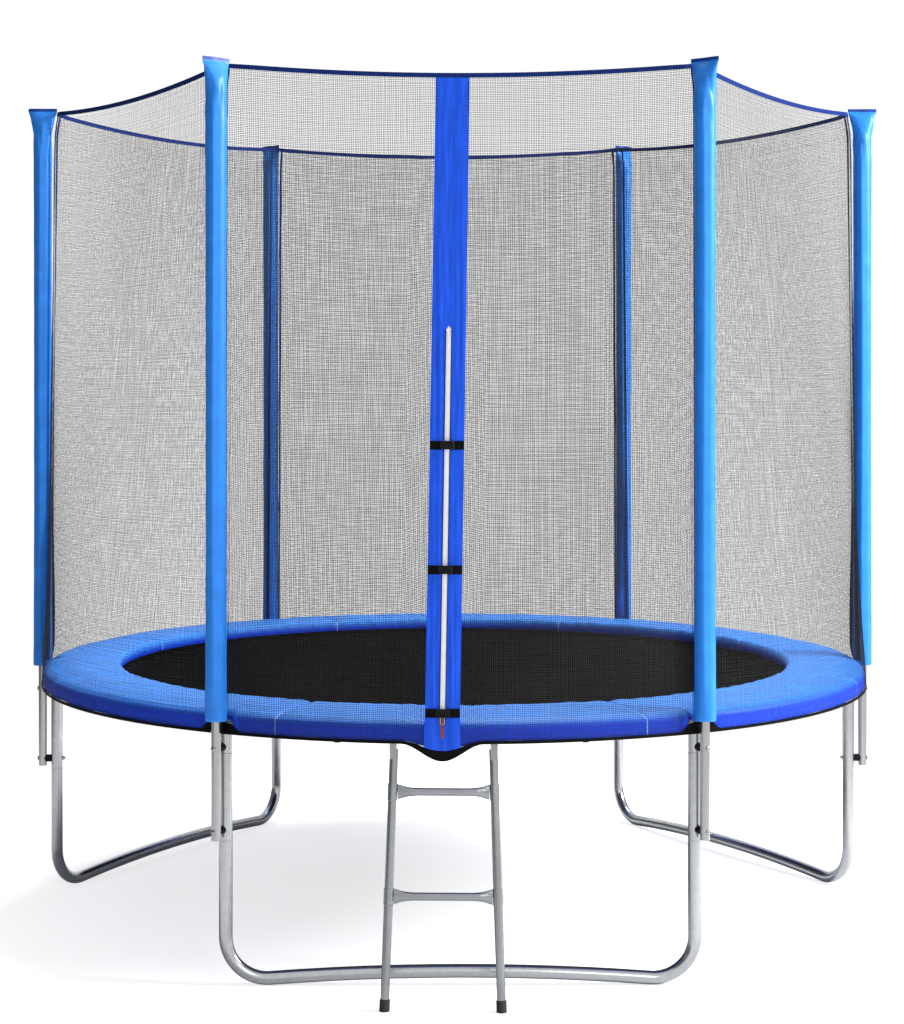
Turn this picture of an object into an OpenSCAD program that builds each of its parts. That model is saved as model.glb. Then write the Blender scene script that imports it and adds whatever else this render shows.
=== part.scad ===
// Garden trampoline with a safety net on six padded poles, three U-legs and a ladder.
// Millimetres, +Z up, standing on z = 0. The origin is the middle of the floor that the part covers.

/* [Frame ring] */
// Radius of the frame ring, to the middle of its tube
ring_r = 1202.5; // [1100:2.5:1500]
// Diameter of the ring and leg tube
tube_d = 35; // [32:0.5:38]
// Wall of the ring and leg tube
tube_wall = 1.5; // [1.2:0.1:2]
// Height of the middle of the ring's tube
rail_z = 660; // [620:5:760]
// Length of a narrowed tube end inside the next tube
swage_l = 45; // [30:1:55]
// Radial clearance of a narrowed end in its socket
swage_fit = 0.2; // [0.1:0.05:0.4]
// Springs on each of the six ring segments
springs_per_rail = 8; // [6:1:9]

/* [Legs] */
// Diameter of the socket stub under the ring
stub_d = 34; // [31:0.5:34]
// Length of the stub below the middle of the ring's tube
stub_l = 65; // [60:1:80]
// Height of the joint between an upright and its U-leg
foot_joint_z = 371; // [300:1:390]
// Radius of the U-leg's bends, to the middle of the tube
bend_r = 107; // [80:1:150]
// How far the middle of a U-leg's bar rises off the floor
bar_rise = 18; // [8:1:30]

/* [Poles] */
// Diameter of the net pole
pole_d = 25; // [22:0.5:28]
// Wall of the net pole
pole_wall = 1.2; // [1:0.1:1.5]
// Free gap between a pole and its leg, filled by the spacers
pole_gap = 13; // [12:0.5:16]
// Height of the pole's lower end
pole_base_z = 378; // [372:1:385]
// Height of the joint between the lower and the upper pole
pole_joint_z = 1364; // [1000:2:1700]
// Length of the upper pole above the joint
pole_upper_l = 958; // [900:2:1100]
// Diameter of the bolts
bolt_d = 6; // [5:0.5:8]
// Height of the upper bolt
bolt_high_z = 612; // [611:1:616]
// Height of the lower bolt
bolt_low_z = 400; // [396:1:440]
// Diameter of the plastic spacers
spacer_d = 22; // [18:1:24]

/* [Pole sleeves] */
// Diameter of the padded sleeve
sleeve_d = 56; // [52:1:60]
// Thickness of the sleeve's cloth
sleeve_wall = 1.7; // [1.2:0.1:2]
// Height of the sleeve's open lower end
sleeve_z = 683; // [682:1:700]
// Height from the top of the upper pole to the sleeve's stitched top edge
closure_rise = 50; // [46:1:60]
// Width of the stitched top edge
closure_w = 87; // [80:1:92]
// Turn of the stitched edge of the front and back sleeves, away from the ring's middle
closure_turn = 16; // [0:1:20]

/* [Jumping mat] */
// Radius of the jumping mat
mat_r = 1020; // [980:1:1030]
// Thickness of the woven mat
mat_t = 2; // [1.5:0.5:3]
// Width of the doubled edge of the mat
mat_hem_w = 40; // [30:5:60]
// Thickness of the doubled edge
mat_hem_t = 5; // [4:0.5:6]
// Thickness of the mat's triangular rings
ring_wire = 3.2; // [2.5:0.1:4]
// Outer diameter of a spring's coil
coil_d = 22; // [18:1:24]
// Wire diameter of a spring
spring_wire = 3; // [2.5:0.25:3.5]

/* [Edge pad] */
// Radius of the pad's inner edge
pad_in_r = 1000; // [960:1:1010]
// Thickness of the pad at its edges
pad_t = 28; // [20:1:35]
// How much the foam swells between its edges
pad_crown = 3; // [1:0.5:8]
// Height of the pad's underside over the top of the ring
pad_lift = 6.5; // [5:0.5:10]
// Thickness of the pad's hanging skirt
skirt_t = 2; // [1.5:0.25:2.5]
// Free space between the ring's tube and the skirt, where the ladder's hooks pass
skirt_gap = 5.3; // [5:0.1:6]
// Height of the skirt's lower edge
skirt_z = 658; // [650:1:665]
// Number of sewn foam panels in the pad
pad_panels = 8; // [6:1:12]

/* [Safety net] */
// Thickness of the net's cloth
net_t = 1.5; // [1:0.1:1.5]
// Openings across a panel in the coarse grid that stands for the net's mesh
mesh_across = 4; // [2:1:4]
// Openings from the net's lower edge to its top
mesh_up = 5; // [3:1:6]
// Width of the strands between these openings
strand_w = 16; // [10:1:30]
// Drop of the top hem between two poles
net_sag = 26; // [10:1:40]
// Height of the top hem's tape
top_hem_h = 12; // [8:1:16]
// Thickness of the hems
hem_t = 3; // [2:0.25:3]
// Gap between the ring's tube and the middle of the net's lower edge
net_gap = 11; // [10.6:0.1:11.2]
// Height of the net's lower edge
net_z = 645; // [642:1:648]
// Height of the tape along the net's lower edge
low_hem_h = 6; // [4:1:12]
// Height of that tape under the door
door_hem_h = 25; // [13:1:28]
// Height of the net's lower edge at the door
door_dip_z = 612; // [600:1:640]
// Half width of the drop in the lower edge at the door
dip_w = 105; // [95:1:130]

/* [Door] */
// Width of the door's band
band_w = 87; // [80:1:95]
// Thickness of the band
band_t = 2; // [1.5:0.1:2.2]
// Place of the band's middle at the top, across the front panel
band_top_x = -20; // [-60:1:60]
// Place of the band's middle at the bottom
band_low_x = -49; // [-60:1:60]
// Width of the zip between the band's halves
zip_w = 15; // [13:0.5:18]
// Height of the top of the zip
zip_top_z = 1677; // [1500:1:1800]
// Height of the slider when the door is closed
slider_z = 705; // [695:1:708]
// Height of the lowest closing strap
strap_low_z = 724; // [722:1:740]
// Height of the middle closing strap
strap_mid_z = 1076; // [900:1:1200]
// Height of the top closing strap
strap_high_z = 1386; // [1250:1:1500]
// Height of a strap's webbing
strap_h = 17; // [14:1:20]

/* [Ladder] */
// Turn of the ladder round the ring from the front
ladder_turn = -2.14; // [-6:0.02:2]
// Distance between the ladder's rails at the top
ladder_top_w = 247; // [235:1:300]
// Distance between the rails at the floor
ladder_foot_w = 288; // [250:1:340]
// Distance of the feet in front of the ring's centre
ladder_foot_r = 1280; // [1260:1:1300]
// Diameter of the ladder's rails
ladder_d = 22; // [20:0.5:24]
// Height of the lower rung
rung_low_z = 274; // [220:1:300]
// Height of the upper rung
rung_high_z = 527; // [480:1:540]
// Diameter of the middle of a rung
rung_d = 20; // [18:0.5:22]
// Diameter of the ladder's rubber feet
cap_d = 26; // [25:0.5:30]

/* [Hidden] */
$fn = 64;

// Posts stand at the corners of a hexagon, counted from the front left, anticlockwise
posts = 6;
post_step = 360 / posts;
function post_a(i) = -120 + post_step * (i - 1);
seat = 0.3; // clearance between pieces that lie on each other
tube_r = tube_d / 2;
bore_r = tube_r - tube_wall;
swage_r = bore_r - swage_fit;
rail_top = rail_z + tube_r;
stub_z = rail_z - stub_l;
pole_r = ring_r + tube_r + pole_gap + pole_d / 2; // radius of the circle of poles
pole_top_z = pole_joint_z + pole_upper_l;
sleeve_r = sleeve_d / 2;
closure_h = 10;
closure_z = pole_top_z + closure_rise;
flare_h = 82; // height over which a sleeve goes from round to flat

// Springs and rings of the mat
springs = posts * springs_per_rail;
spring_step = 360 / springs;
apex_r = mat_r + 28; // where a spring's hook passes round a mat ring
hook_r = spring_wire / 2;
spring_z = rail_z + ring_wire / 2 + seat + hook_r;
anchor_r = ring_r - bore_r + hook_r + 1; // where a spring's hook turns down inside the ring

// Edge pad
pad_z = rail_top + pad_lift;
skirt_in = ring_r + tube_r + skirt_gap;
skirt_out = skirt_in + skirt_t;

// Net surface: lower edge, tuck under the sleeves, flare under the top hem, top hem
net_r = ring_r + tube_r + net_gap;
wrap_r = sleeve_r + net_t / 2 + seat + 1.1;
tuck_z = sleeve_z - 2;
hem_z = closure_z - closure_h;
flare_z = hem_z - 40;
corner_r = pole_r - wrap_r;
flare_in = closure_w / 2 - wrap_r + 2; // how far the net moves in beside the stitched edges
flare_s = 0.06;

// Ladder
ladder_hook_a = asin(ladder_top_w / 2 / ring_r);
ladder_top_y = ring_r * cos(ladder_hook_a) + 8;
ladder_top_z = rail_z - tube_r - 11;
ladder_l = norm([(ladder_foot_w - ladder_top_w) / 2, ladder_foot_r - ladder_top_y, ladder_top_z]);
ladder_wall = 1.2;
collar_r = ladder_d / 2 + 1.4;
hook_in = tube_r + 1.5;
hook_t = 2.5;
hook_w = 18;

// The part reaches from the ladder's feet to the net's lower edge at the back
back_reach = net_r + hem_t / 2;
front_reach = ladder_foot_r + cap_d / 2 + ladder_foot_w / 2 * sin(abs(ladder_turn));
ring_y = (front_reach - back_reach) / 2;

function mix(a, b, f) = a + (b - a) * f;
function polar(r, a) = [r * cos(a), r * sin(a)];

// ---- helpers ----

// Moves its children from the ring's own centre to their place over the origin
module on_ring() translate([0, ring_y, 0]) children();

// Its children stand at post i, with +X pointing outwards
module at_post(i, r) on_ring() rotate([0, 0, post_a(i)]) translate([r, 0, 0]) children();

// Stands its children on point p, with their Z axis towards point q
module along(p, q) {
  d = q - p;
  translate(p) rotate([0, acos(d[2] / norm(d)), atan2(d[1], d[0])]) children();
}

// A tube whose lower end is narrowed to fit inside the next one
module swaged_tube(r, wall, narrow_r, z0, z1, narrow_l) {
  bevel = 1.2;
  rotate_extrude() polygon([
    [narrow_r - wall, z0 - narrow_l], [narrow_r - 0.6, z0 - narrow_l],
    [narrow_r, z0 - narrow_l + bevel], [narrow_r, z0], [r - 0.6, z0], [r, z0 + bevel],
    [r, z1], [r - wall, z1], [r - wall, z0 + 4], [narrow_r - wall, z0 + 1]]);
}

// A closed skin over rings of points, with flat ends
module skin(rings) {
  n = len(rings[0]);
  last = (len(rings) - 1) * n;
  polyhedron(
    points = [for (r = rings) each r],
    faces = concat(
      [for (j = [0:len(rings) - 2], i = [0:n - 1]) let(a = j * n + i, b = j * n + (i + 1) % n)
        each [[a, a + n, b + n], [a, b + n, b]]],
      [for (i = [1:n - 2]) [0, i, i + 1]],
      [for (i = [1:n - 2]) [last, last + i + 1, last + i]]));
}

// A closed sheet between two grids of points, [column][row]
module sheet(front, back, open = function (c, r) false) {
  rows = len(front[0]);
  columns = len(front);
  side = columns * rows;
  function quad(a, b, c, d) = [[a, b, c], [a, c, d]];
  function cloth(c, r) = c >= 0 && c < columns - 1 && r >= 0 && r < rows - 1 && !open(c, r);
  polyhedron(
    points = concat([for (c = front) each c], [for (c = back) each c]),
    faces = concat(
      [for (c = [0:columns - 2], r = [0:rows - 2]) if (cloth(c, r)) let(a = c * rows + r)
        each concat(quad(a, a + 1, a + rows + 1, a + rows),
          quad(side + a, side + a + rows, side + a + rows + 1, side + a + 1))],
      [for (c = [0:columns - 2], r = [0:rows - 1])
        let(a = c * rows + r, over = cloth(c, r), under = cloth(c, r - 1))
        if (over != under) each (over ? quad(a, a + rows, side + a + rows, side + a)
          : quad(a, side + a, side + a + rows, a + rows))],
      [for (c = [0:columns - 1], r = [0:rows - 2])
        let(a = c * rows + r, after = cloth(c, r), before = cloth(c - 1, r))
        if (after != before) each (after ? quad(a, side + a, side + a + 1, a + 1)
          : quad(a, a + 1, side + a + 1, side + a))]));
}

// ---- frame ----

module tube_arc(a, out_r, in_r) {
  rotate_extrude(angle = a, $fn = 180) translate([ring_r, 0]) difference() {
    circle(out_r);
    circle(in_r);
  }
}

// A sixth of the ring, with its welded stub and the holes for its springs
module frame_rail(i) {
  narrow_a = swage_l / ring_r * 180 / PI;
  neck_a = 0.1; // angle over which the tube narrows
  start = post_a(i) - post_step / 2;
  color("gainsboro") on_ring() difference() {
    union() {
      translate([0, 0, rail_z]) rotate([0, 0, start]) {
        tube_arc(post_step, tube_r, bore_r);
        rotate([0, 0, post_step - neck_a])
          tube_arc(neck_a * 0.8, bore_r + tube_wall / 2, swage_r - tube_wall / 2);
        rotate([0, 0, post_step - neck_a / 2]) tube_arc(narrow_a, swage_r, swage_r - tube_wall);
      }
      rotate([0, 0, post_a(i)]) translate([ring_r, 0, 0]) difference() {
        swaged_tube(stub_d / 2, tube_wall, swage_r, stub_z, rail_z - tube_r / 2, swage_l);
        translate([-ring_r, 0, rail_z]) rotate([0, 0, -5])
          rotate_extrude(angle = 10, $fn = 180) translate([ring_r, 0]) circle(bore_r + tube_wall / 2);
      }
    }
    for (k = [0.5:springs_per_rail - 0.5])
      rotate([0, 0, start + k * spring_step])
        translate([ring_r - tube_r - 4, 0, spring_z])
          rotate([0, 90, 0]) cylinder(d = spring_wire + 2, h = 14, $fn = 24);
    rotate([0, 0, post_a(i)]) translate([ring_r - tube_d, 0, bolt_high_z])
      rotate([0, 90, 0]) cylinder(d = bolt_d + 0.5, h = tube_d * 2, $fn = 24);
  }
}

module leg_upright(i) {
  color("gainsboro") at_post(i, ring_r) difference() {
    swaged_tube(tube_r, tube_wall, swage_r, foot_joint_z, stub_z, swage_l);
    translate([-tube_d, 0, bolt_low_z]) rotate([0, 90, 0])
      cylinder(d = bolt_d + 0.5, h = tube_d * 2, $fn = 24);
  }
}

// A bent tube under two uprights, with an arched bar between its bends. a is its middle direction
module base_leg(a) {
  bend_x = ring_r / 2 - bend_r;
  slope = 2 * atan(bar_rise / bend_x);
  arch_r = bend_x / sin(slope) - bend_r;
  bend_z = bend_r + tube_r;
  bend_thin = 0.15; // how much the tube's wall draws in at a bend
  lap = 1; // length over which the bends run into the straight parts
  lap_a = lap / arch_r * 180 / PI;
  module arc(r, angle, fn, thin) rotate_extrude(angle = angle, $fn = fn)
    translate([r, 0]) difference() {
      circle(tube_r - thin);
      circle(bore_r + thin);
    }
  color("gainsboro") on_ring() rotate([0, 0, a + 90])
    translate([0, -ring_r * cos(post_step / 2), 0]) {
      for (m = [0, 1]) mirror([m, 0, 0]) {
        translate([ring_r / 2, 0, bend_z - lap]) difference() {
          cylinder(r = tube_r, h = foot_joint_z - bend_z + lap);
          translate([0, 0, -1]) cylinder(r = bore_r, h = foot_joint_z);
        }
        translate([bend_x, 0, bend_z]) rotate([90, 0, 0]) rotate([0, 0, -90 - slope])
          arc(bend_r, 90 + slope, 96, bend_thin);
      }
      translate([0, 0, bend_z - (bend_r + arch_r) * cos(slope)])
        rotate([90, 0, 0]) rotate([0, 0, 90 - slope - lap_a])
          arc(arch_r, 2 * (slope + lap_a), 180, 0);
    }
}

// ---- net poles ----

module bolt_holes(zs) for (z = zs)
  translate([-pole_d, 0, z]) rotate([0, 90, 0]) cylinder(d = bolt_d + 0.5, h = pole_d * 2, $fn = 24);

module pole_lower(i) {
  color("silver") at_post(i, pole_r) difference() {
    cylinder(d = pole_d, h = pole_joint_z);
    translate([0, 0, -1]) cylinder(d = pole_d * 2, h = pole_base_z + 1);
    cylinder(d = pole_d - 2 * pole_wall, h = pole_joint_z + 1);
    bolt_holes([bolt_high_z, bolt_low_z]);
  }
}

module pole_upper(i) {
  color("silver") at_post(i, pole_r)
    swaged_tube(pole_d / 2, pole_wall, pole_d / 2 - pole_wall - swage_fit, pole_joint_z,
      pole_top_z, swage_l);
}

// The sleeve's outline at height z: half length outwards, half width sideways
module pole_sleeve(i) {
  flat = closure_z - closure_h;
  start = closure_z - flare_h;
  w = closure_w / 2;
  lip = sleeve_wall + 0.5;
  function oval(a, b, z) = [for (k = [0:23]) [a * cos(k * 15), b * sin(k * 15), z]];
  outside = [[sleeve_r + 0.4, sleeve_r - 0.6, sleeve_z], [sleeve_r, sleeve_r, sleeve_z + 25],
    [sleeve_r, sleeve_r, start], [mix(sleeve_r, w, 0.25), sleeve_r * 0.8, mix(start, flat, 0.35)],
    [mix(sleeve_r, w, 0.65), sleeve_r * 0.42, mix(start, flat, 0.75)], [w, lip, flat],
    [w, lip - 0.4, closure_z]];
  inside = [[0.95, 0.35, flat - 3], [0.65, 0.42, mix(start, flat, 0.75)],
    [0.25, 0.8, mix(start, flat, 0.35)], [0, 1, start], [0, 1, sleeve_z]];
  turn = -closure_turn * sin(2 * post_a(i)) / sin(120);
  color("royalblue") at_post(i, pole_r) rotate([0, 0, turn]) skin(concat(
    [for (q = inside) oval(mix(sleeve_r, w, q[0]) - sleeve_wall,
      (q[2] > flat - 4 ? 0.9 : sleeve_r * q[1] - sleeve_wall), q[2])],
    [for (q = outside) oval(q[0], q[1], q[2])]));
}

module pole_foams() {
  foam_top = closure_z - flare_h - 4;
  color("whitesmoke") for (i = [1:posts]) at_post(i, pole_r)
    translate([0, 0, sleeve_z + 6]) difference() {
      cylinder(r = sleeve_r - sleeve_wall - seat, h = foam_top - sleeve_z - 6);
      translate([0, 0, -1]) cylinder(r = pole_d / 2 + seat, h = foam_top);
    }
}

module pole_caps() {
  plug_r = pole_d / 2 - pole_wall - swage_fit;
  color("dimgray") for (i = [1:posts]) at_post(i, pole_r) translate([0, 0, pole_top_z])
    rotate_extrude() polygon(concat([[0, -18], [plug_r - 1, -18], [plug_r, -16], [plug_r, 0],
      [pole_d / 2, 0], [pole_d / 2, 3]], [for (a = [15:15:90]) [pole_d / 2 * cos(a), 3 + 4 * sin(a)]]));
}

// Plastic spacers, hollowed at both ends to seat on the pole and on the leg
module pole_spacers() {
  color("black") for (i = [1:posts]) at_post(i, 0) {
    for (s = [[bolt_high_z, stub_d / 2], [bolt_low_z, tube_r]]) difference() {
      translate([ring_r, 0, s[0]]) rotate([0, 90, 0])
        cylinder(d = spacer_d, h = pole_r - ring_r, $fn = 48);
      translate([ring_r - 1, 0, s[0]]) rotate([0, 90, 0])
        cylinder(d = bolt_d + 0.5, h = pole_r - ring_r + 2, $fn = 24);
      translate([ring_r, 0, s[0] - spacer_d]) cylinder(r = s[1] + seat, h = spacer_d * 2);
      translate([pole_r, 0, s[0] - spacer_d]) cylinder(r = pole_d / 2 + seat, h = spacer_d * 2);
    }
  }
}

// Distance from the leg's middle to a bolt's nut face, and to its head
nut_x = tube_r + seat;
head_x = pole_r - ring_r + pole_d / 2 + seat;

module pole_bolts() {
  head_r = bolt_d * 1.15;
  color("gainsboro") for (i = [1:posts], z = [bolt_high_z, bolt_low_z]) at_post(i, ring_r)
    translate([-nut_x - bolt_d * 1.3, 0, z]) rotate([0, 90, 0]) rotate_extrude($fn = 32)
      polygon(concat([[0, 0], [bolt_d / 2 - 0.5, 0], [bolt_d / 2, 0.5]],
        [[bolt_d / 2, nut_x + bolt_d * 1.3 + head_x], [head_r, nut_x + bolt_d * 1.3 + head_x]],
        [for (a = [0:18:90]) [head_r * cos(a), nut_x + bolt_d * 1.3 + head_x + 1 + 3 * sin(a)]]));
}

module pole_nuts() {
  color("gainsboro") for (i = [1:posts], z = [bolt_high_z, bolt_low_z]) at_post(i, ring_r)
    translate([-nut_x, 0, z]) rotate([0, -90, 0]) difference() {
      cylinder(d = bolt_d * 1.9, h = bolt_d * 0.85, $fn = 6);
      translate([0, 0, -1]) cylinder(d = bolt_d + 0.2, h = bolt_d * 2, $fn = 24);
    }
}

// ---- mat and springs ----

loop_l = 24; // length of a webbing loop round a mat ring
loop_x = mat_r + 3;
ring_half = loop_l / 2 + 5.5; // half a mat ring's base
ring_side = norm([ring_half, apex_r - loop_x]);
inner_r = ring_half * (apex_r - loop_x) / (ring_half + ring_side); // of the circle inside it
function point_gap(d) = d * ring_side / ring_half; // from a ring's point to what is d off its sides

module at_springs() on_ring() for (k = [0:springs - 1])
  rotate([0, 0, (k + 0.5) * spring_step + post_step / 2]) children();

// The woven disc with its doubled edge and the webbing loops that hold the rings
module jump_mat() {
  bore_d = ring_wire * sqrt(2) + 0.4;
  loop_d = bore_d + 4;
  color([0.11, 0.11, 0.12]) difference() {
    union() {
      on_ring() translate([0, 0, rail_z]) rotate_extrude($fn = 180) polygon([
        [0, -mat_t / 2], [mat_r - mat_hem_w - 1, -mat_t / 2], [mat_r - mat_hem_w, -mat_hem_t / 2],
        [mat_r, -mat_hem_t / 2], [mat_r, mat_hem_t / 2], [mat_r - mat_hem_w, mat_hem_t / 2],
        [mat_r - mat_hem_w - 1, mat_t / 2], [0, mat_t / 2]]);
      at_springs() translate([loop_x, loop_l / 2, rail_z]) rotate([90, 0, 0])
        cylinder(d = loop_d, h = loop_l, $fn = 24);
    }
    at_springs() translate([loop_x, loop_l / 2 + 1, rail_z]) rotate([90, 0, 0])
      cylinder(d = bore_d, h = loop_l + 2, $fn = 24);
  }
}

// Triangular rings, each with its base in a webbing loop and a spring at its point
module mat_rings() {
  module triangle(grow) translate([loop_x + inner_r, 0]) scale((inner_r + grow) / inner_r)
    polygon([[-inner_r, -ring_half], [apex_r - loop_x - inner_r, 0], [-inner_r, ring_half]]);
  color("silver") at_springs() translate([0, 0, rail_z - ring_wire / 2])
    linear_extrude(ring_wire) difference() {
      triangle(ring_wire / 2);
      triangle(-ring_wire / 2);
    }
}

// Each spring is a coil between a hook round its mat ring and a hook in its hole in the ring
module springs() {
  hook_x = apex_r - point_gap(ring_wire / 2 + seat + hook_r);
  coil_x0 = apex_r + point_gap(ring_wire / 2) + 4;
  coil_x1 = ring_r - tube_r - 15;
  drop = 8;
  color("darkgray") at_springs() {
    translate([0, 0, spring_z]) rotate([0, 90, 0]) rotate_extrude($fn = 32) polygon([
      [0, hook_x], [hook_r, hook_x], [hook_r, coil_x0], [coil_d / 2, coil_x0 + 5],
      [coil_d / 2, coil_x1 - 5], [hook_r, coil_x1], [hook_r, anchor_r], [0, anchor_r]]);
    for (x = [hook_x, anchor_r]) {
      translate([x, 0, spring_z]) sphere(r = hook_r, $fn = 24);
      translate([x, 0, spring_z - drop]) cylinder(r = hook_r, h = drop, $fn = 24);
    }
  }
}

// ---- edge pad ----

module edge_pad() {
  top = pad_z + pad_t;
  notch_r = sleeve_r + 14;
  crown = [for (k = [0:10]) [mix(pad_in_r + 9, skirt_out - 16, k / 10), top + pad_crown * sin(18 * k)]];
  color("dodgerblue") on_ring() difference() {
    rotate_extrude($fn = 180) polygon(concat(
      [[pad_in_r + 4, pad_z], [pad_in_r + 1, pad_z + 3], [pad_in_r, pad_z + pad_t / 2],
      [pad_in_r + 1, top - 7], [pad_in_r + 4, top - 2]], crown,
      [[skirt_out - 8, top - 4], [skirt_out - 3, top - 12], [skirt_out, top - 26],
      [skirt_out, skirt_z], [skirt_in, skirt_z], [skirt_in, pad_z]]));
    for (i = [1:posts]) rotate([0, 0, post_a(i)]) translate([pole_r, 0, skirt_z - 1])
      cylinder(r = notch_r, h = pad_t * 3);
    for (k = [0:pad_panels - 1]) rotate([0, 0, (k + 0.5) * 360 / pad_panels])
      translate([pad_in_r - 1, -1, top - 1.5]) cube([skirt_out - pad_in_r - 10, 2, pad_t]);
  }
}

// Elastic loops under the pad, round the ring's tube
module pad_ties() {
  tie_w = 12;
  in_r = tube_r + seat;
  out_r = in_r + 1.5;
  color("black") on_ring() for (k = [0:2 * posts - 1]) rotate([0, 0, (k + 0.5) * post_step / 2])
    translate([ring_r, tie_w / 2, rail_z]) rotate([90, 0, 0]) linear_extrude(tie_w) difference() {
      union() {
        circle(out_r);
        translate([-5, tube_r]) square([10, pad_lift]);
      }
      circle(in_r);
    }
}

// ---- safety net ----

// Panel i hangs between posts i and i + 1. s runs along it and v up it: -1 is its lower edge,
// 0 the tuck at the sleeves' lower ends, 1 the start of the flare, and 2 the top
dip_s = 0.5 + asin(band_low_x / net_r) / post_step;
function dip(i, s) = i != 1 ? 0 : let(d = abs(s - dip_s) * post_step * PI / 180 * net_r / dip_w)
  d > 1 ? 0 : (1 + cos(180 * d)) / 2;
function low_z(i, s) = net_z - (net_z - door_dip_z) * dip(i, s);
function hem_z0(i, s) = low_z(i, s) + mix(low_hem_h, door_hem_h, dip(i, s)); // the lower tape's upper edge
function high_z(s, z) = z - net_sag * 4 * s * (1 - s);
function near_post(s) = (s < 0.5 ? s : 1 - s) * post_step;
function tuck_r(s) = let(a = near_post(s), y = pole_r * sin(a))
  y >= wrap_r ? net_r : min(net_r, pole_r * cos(a) - sqrt(wrap_r * wrap_r - y * y));
function chord(i, s) = mix(polar(corner_r, post_a(i)), polar(corner_r, post_a(i + 1)), s);
flare_v = 0.98; // where the net starts to move in with the flaring sleeves
function flare_share(v) = v < flare_v ? 0
  : v < 1 ? 0.35 * (v - flare_v) / (1 - flare_v) : mix(0.35, 1, v - 1);
function flare(s, v) = flare_in * max(0, 1 - min(s, 1 - s) / flare_s) * flare_share(v);
function net_xy(i, s, v) = let(a = post_a(i) + s * post_step)
  v < 0 ? polar(mix(tuck_r(s), net_r, -v), a)
  : mix(polar(tuck_r(s), a), chord(i, s), min(v, 1)) - polar(flare(s, v), a);
function net_height(i, s, v) = v < 0 ? mix(tuck_z, low_z(i, s), -v)
  : v < 1 ? mix(tuck_z, high_z(s, flare_z), v)
  : mix(high_z(s, flare_z), high_z(s, hem_z), v - 1);
function net_normal(i, s, v) =
  s < 0.001 ? polar(1, post_a(i)) : s > 0.999 ? polar(1, post_a(i + 1))
  : let(d = net_xy(i, s + 0.0004, v) - net_xy(i, s - 0.0004, v)) [d[1], -d[0]] / norm(d);
function net_point(i, s, v, off) =
  let(p = net_xy(i, s, v) + off * net_normal(i, s, v)) [p[0], p[1], net_height(i, s, v)];

// Where v is at height z
function v_at(i, s, z) = z < tuck_z ? -(tuck_z - z) / (tuck_z - low_z(i, s))
  : let(top = high_z(s, flare_z)) z < top ? (z - tuck_z) / (top - tuck_z)
  : 1 + (z - top) / (high_z(s, hem_z) - top);

// Part of a panel from side function values s[0] to s[1], at the heights v, this thick
module net_part(i, columns, rows, t, open = function (c, r) false)
  sheet([for (c = columns) [for (v = rows(c)) net_point(i, c, v, t / 2)]],
    [for (c = columns) [for (v = rows(c)) net_point(i, c, v, -t / 2)]], open);

end_s = 0.00025; // half the gap between two panels
wraps = [for (d = [10, 19, 26, 29]) asin(d / pole_r) / post_step];
function columns(a, b, inner) = concat(a == 0 ? concat([end_s], wraps) : [a], inner,
  b == 1 ? concat([for (k = [len(wraps) - 1:-1:0]) 1 - wraps[k]], [1 - end_s]) : [b]);

// The net's coarse grid: n openings from a to b with strands between them
function spans(a, b, n, strand) = let(w = (b - a - (n - 1) * strand) / n)
  [for (k = [0:n - 1]) let(p = a + k * (w + strand)) [p, p + w]];
function lines(spans) = [for (g = spans) each [g[0], (g[0] + g[1]) / 2, g[1]]];
function within(x, spans) = len([for (g = spans) if (x > g[0] && x < g[1]) 1]) > 0;
function sorted(list) = len(list) < 2 ? list : let(p = list[0]) concat(
  sorted([for (x = list) if (x < p) x]), [p], sorted([for (x = list) if (x > p) x]));
strand_s = strand_w / (post_step * PI / 180 * net_r);
across = spans(0.06, 0.94, mesh_across, strand_s);
up = spans(0.02, 0.965, mesh_up, strand_w / (flare_z - tuck_z));
beside_door = spans(0.06, 0.48, ceil(mesh_across / 2), strand_s);
full = columns(0, 1, lines(across));

// The band's edges: s of the line at distance x from the band's middle, at height v
function band_s(x, v) = mix(
  0.5 + asin((band_low_x + x) / net_r) / post_step,
  0.5 + (band_top_x + x) / corner_r, max(0, min(1, v)));
edge = band_w / 2 + 0.4;
at_door = [for (k = [-6:6]) dip_s + k * dip_w / 6 / (post_step * PI / 180 * net_r)];
hem_v = function (i, s) v_at(i, s, high_z(s, hem_z) - top_hem_h - seat);
low_v = function (i, s) v_at(i, s, hem_z0(i, s) + seat);
net_rows = concat([0], [for (g = up) each g], [flare_v, 1]);
function open_row(r) = r > 0 && r < len(net_rows) && within((net_rows[r - 1] + net_rows[r]) / 2, up);

// Columns of half the door panel, as shares of the way from the pole to the door's middle, halved
function door_cuts(sign) = let(end = band_s(sign * edge, -1), fixed = lines(beside_door))
  sorted(concat(fixed, [for (s = at_door)
    let(x = (sign < 0 ? s / end : (1 - s) / (1 - end)) / 2)
    if (sign * (s - end) > 0.002 && min([for (y = fixed) abs(x - y)]) > 0.004) x]));
// The place of such a share at height v
function beside(sign, u, v) = sign < 0 ? 2 * u * band_s(-edge, v)
  : 1 - 2 * u * (1 - band_s(edge, v));
function reversed(list) = [for (k = [len(list) - 1:-1:0]) list[k]];

// Half of the door panel: its columns close up to the band's slanting edge
module door_side(sign) {
  cuts = door_cuts(sign);
  cols = sign < 0 ? columns(0, 0.5, cuts) : columns(0.5, 1, [for (u = reversed(cuts)) 1 - u]);
  function s_of(u, v) = beside(sign, sign < 0 ? u : 1 - u, v);
  function at(u, off) = let(s0 = s_of(u, -1), s1 = s_of(u, 2))
    [for (v = concat([low_v(1, s0)], net_rows, [hem_v(1, s1)])) net_point(1, s_of(u, v), v, off)];
  sheet([for (u = cols) at(u, net_t / 2)], [for (u = cols) at(u, -net_t / 2)],
    function (c, r) let(u = (cols[c] + cols[c + 1]) / 2)
      open_row(r) && within(min(u, 1 - u), beside_door));
}

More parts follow.
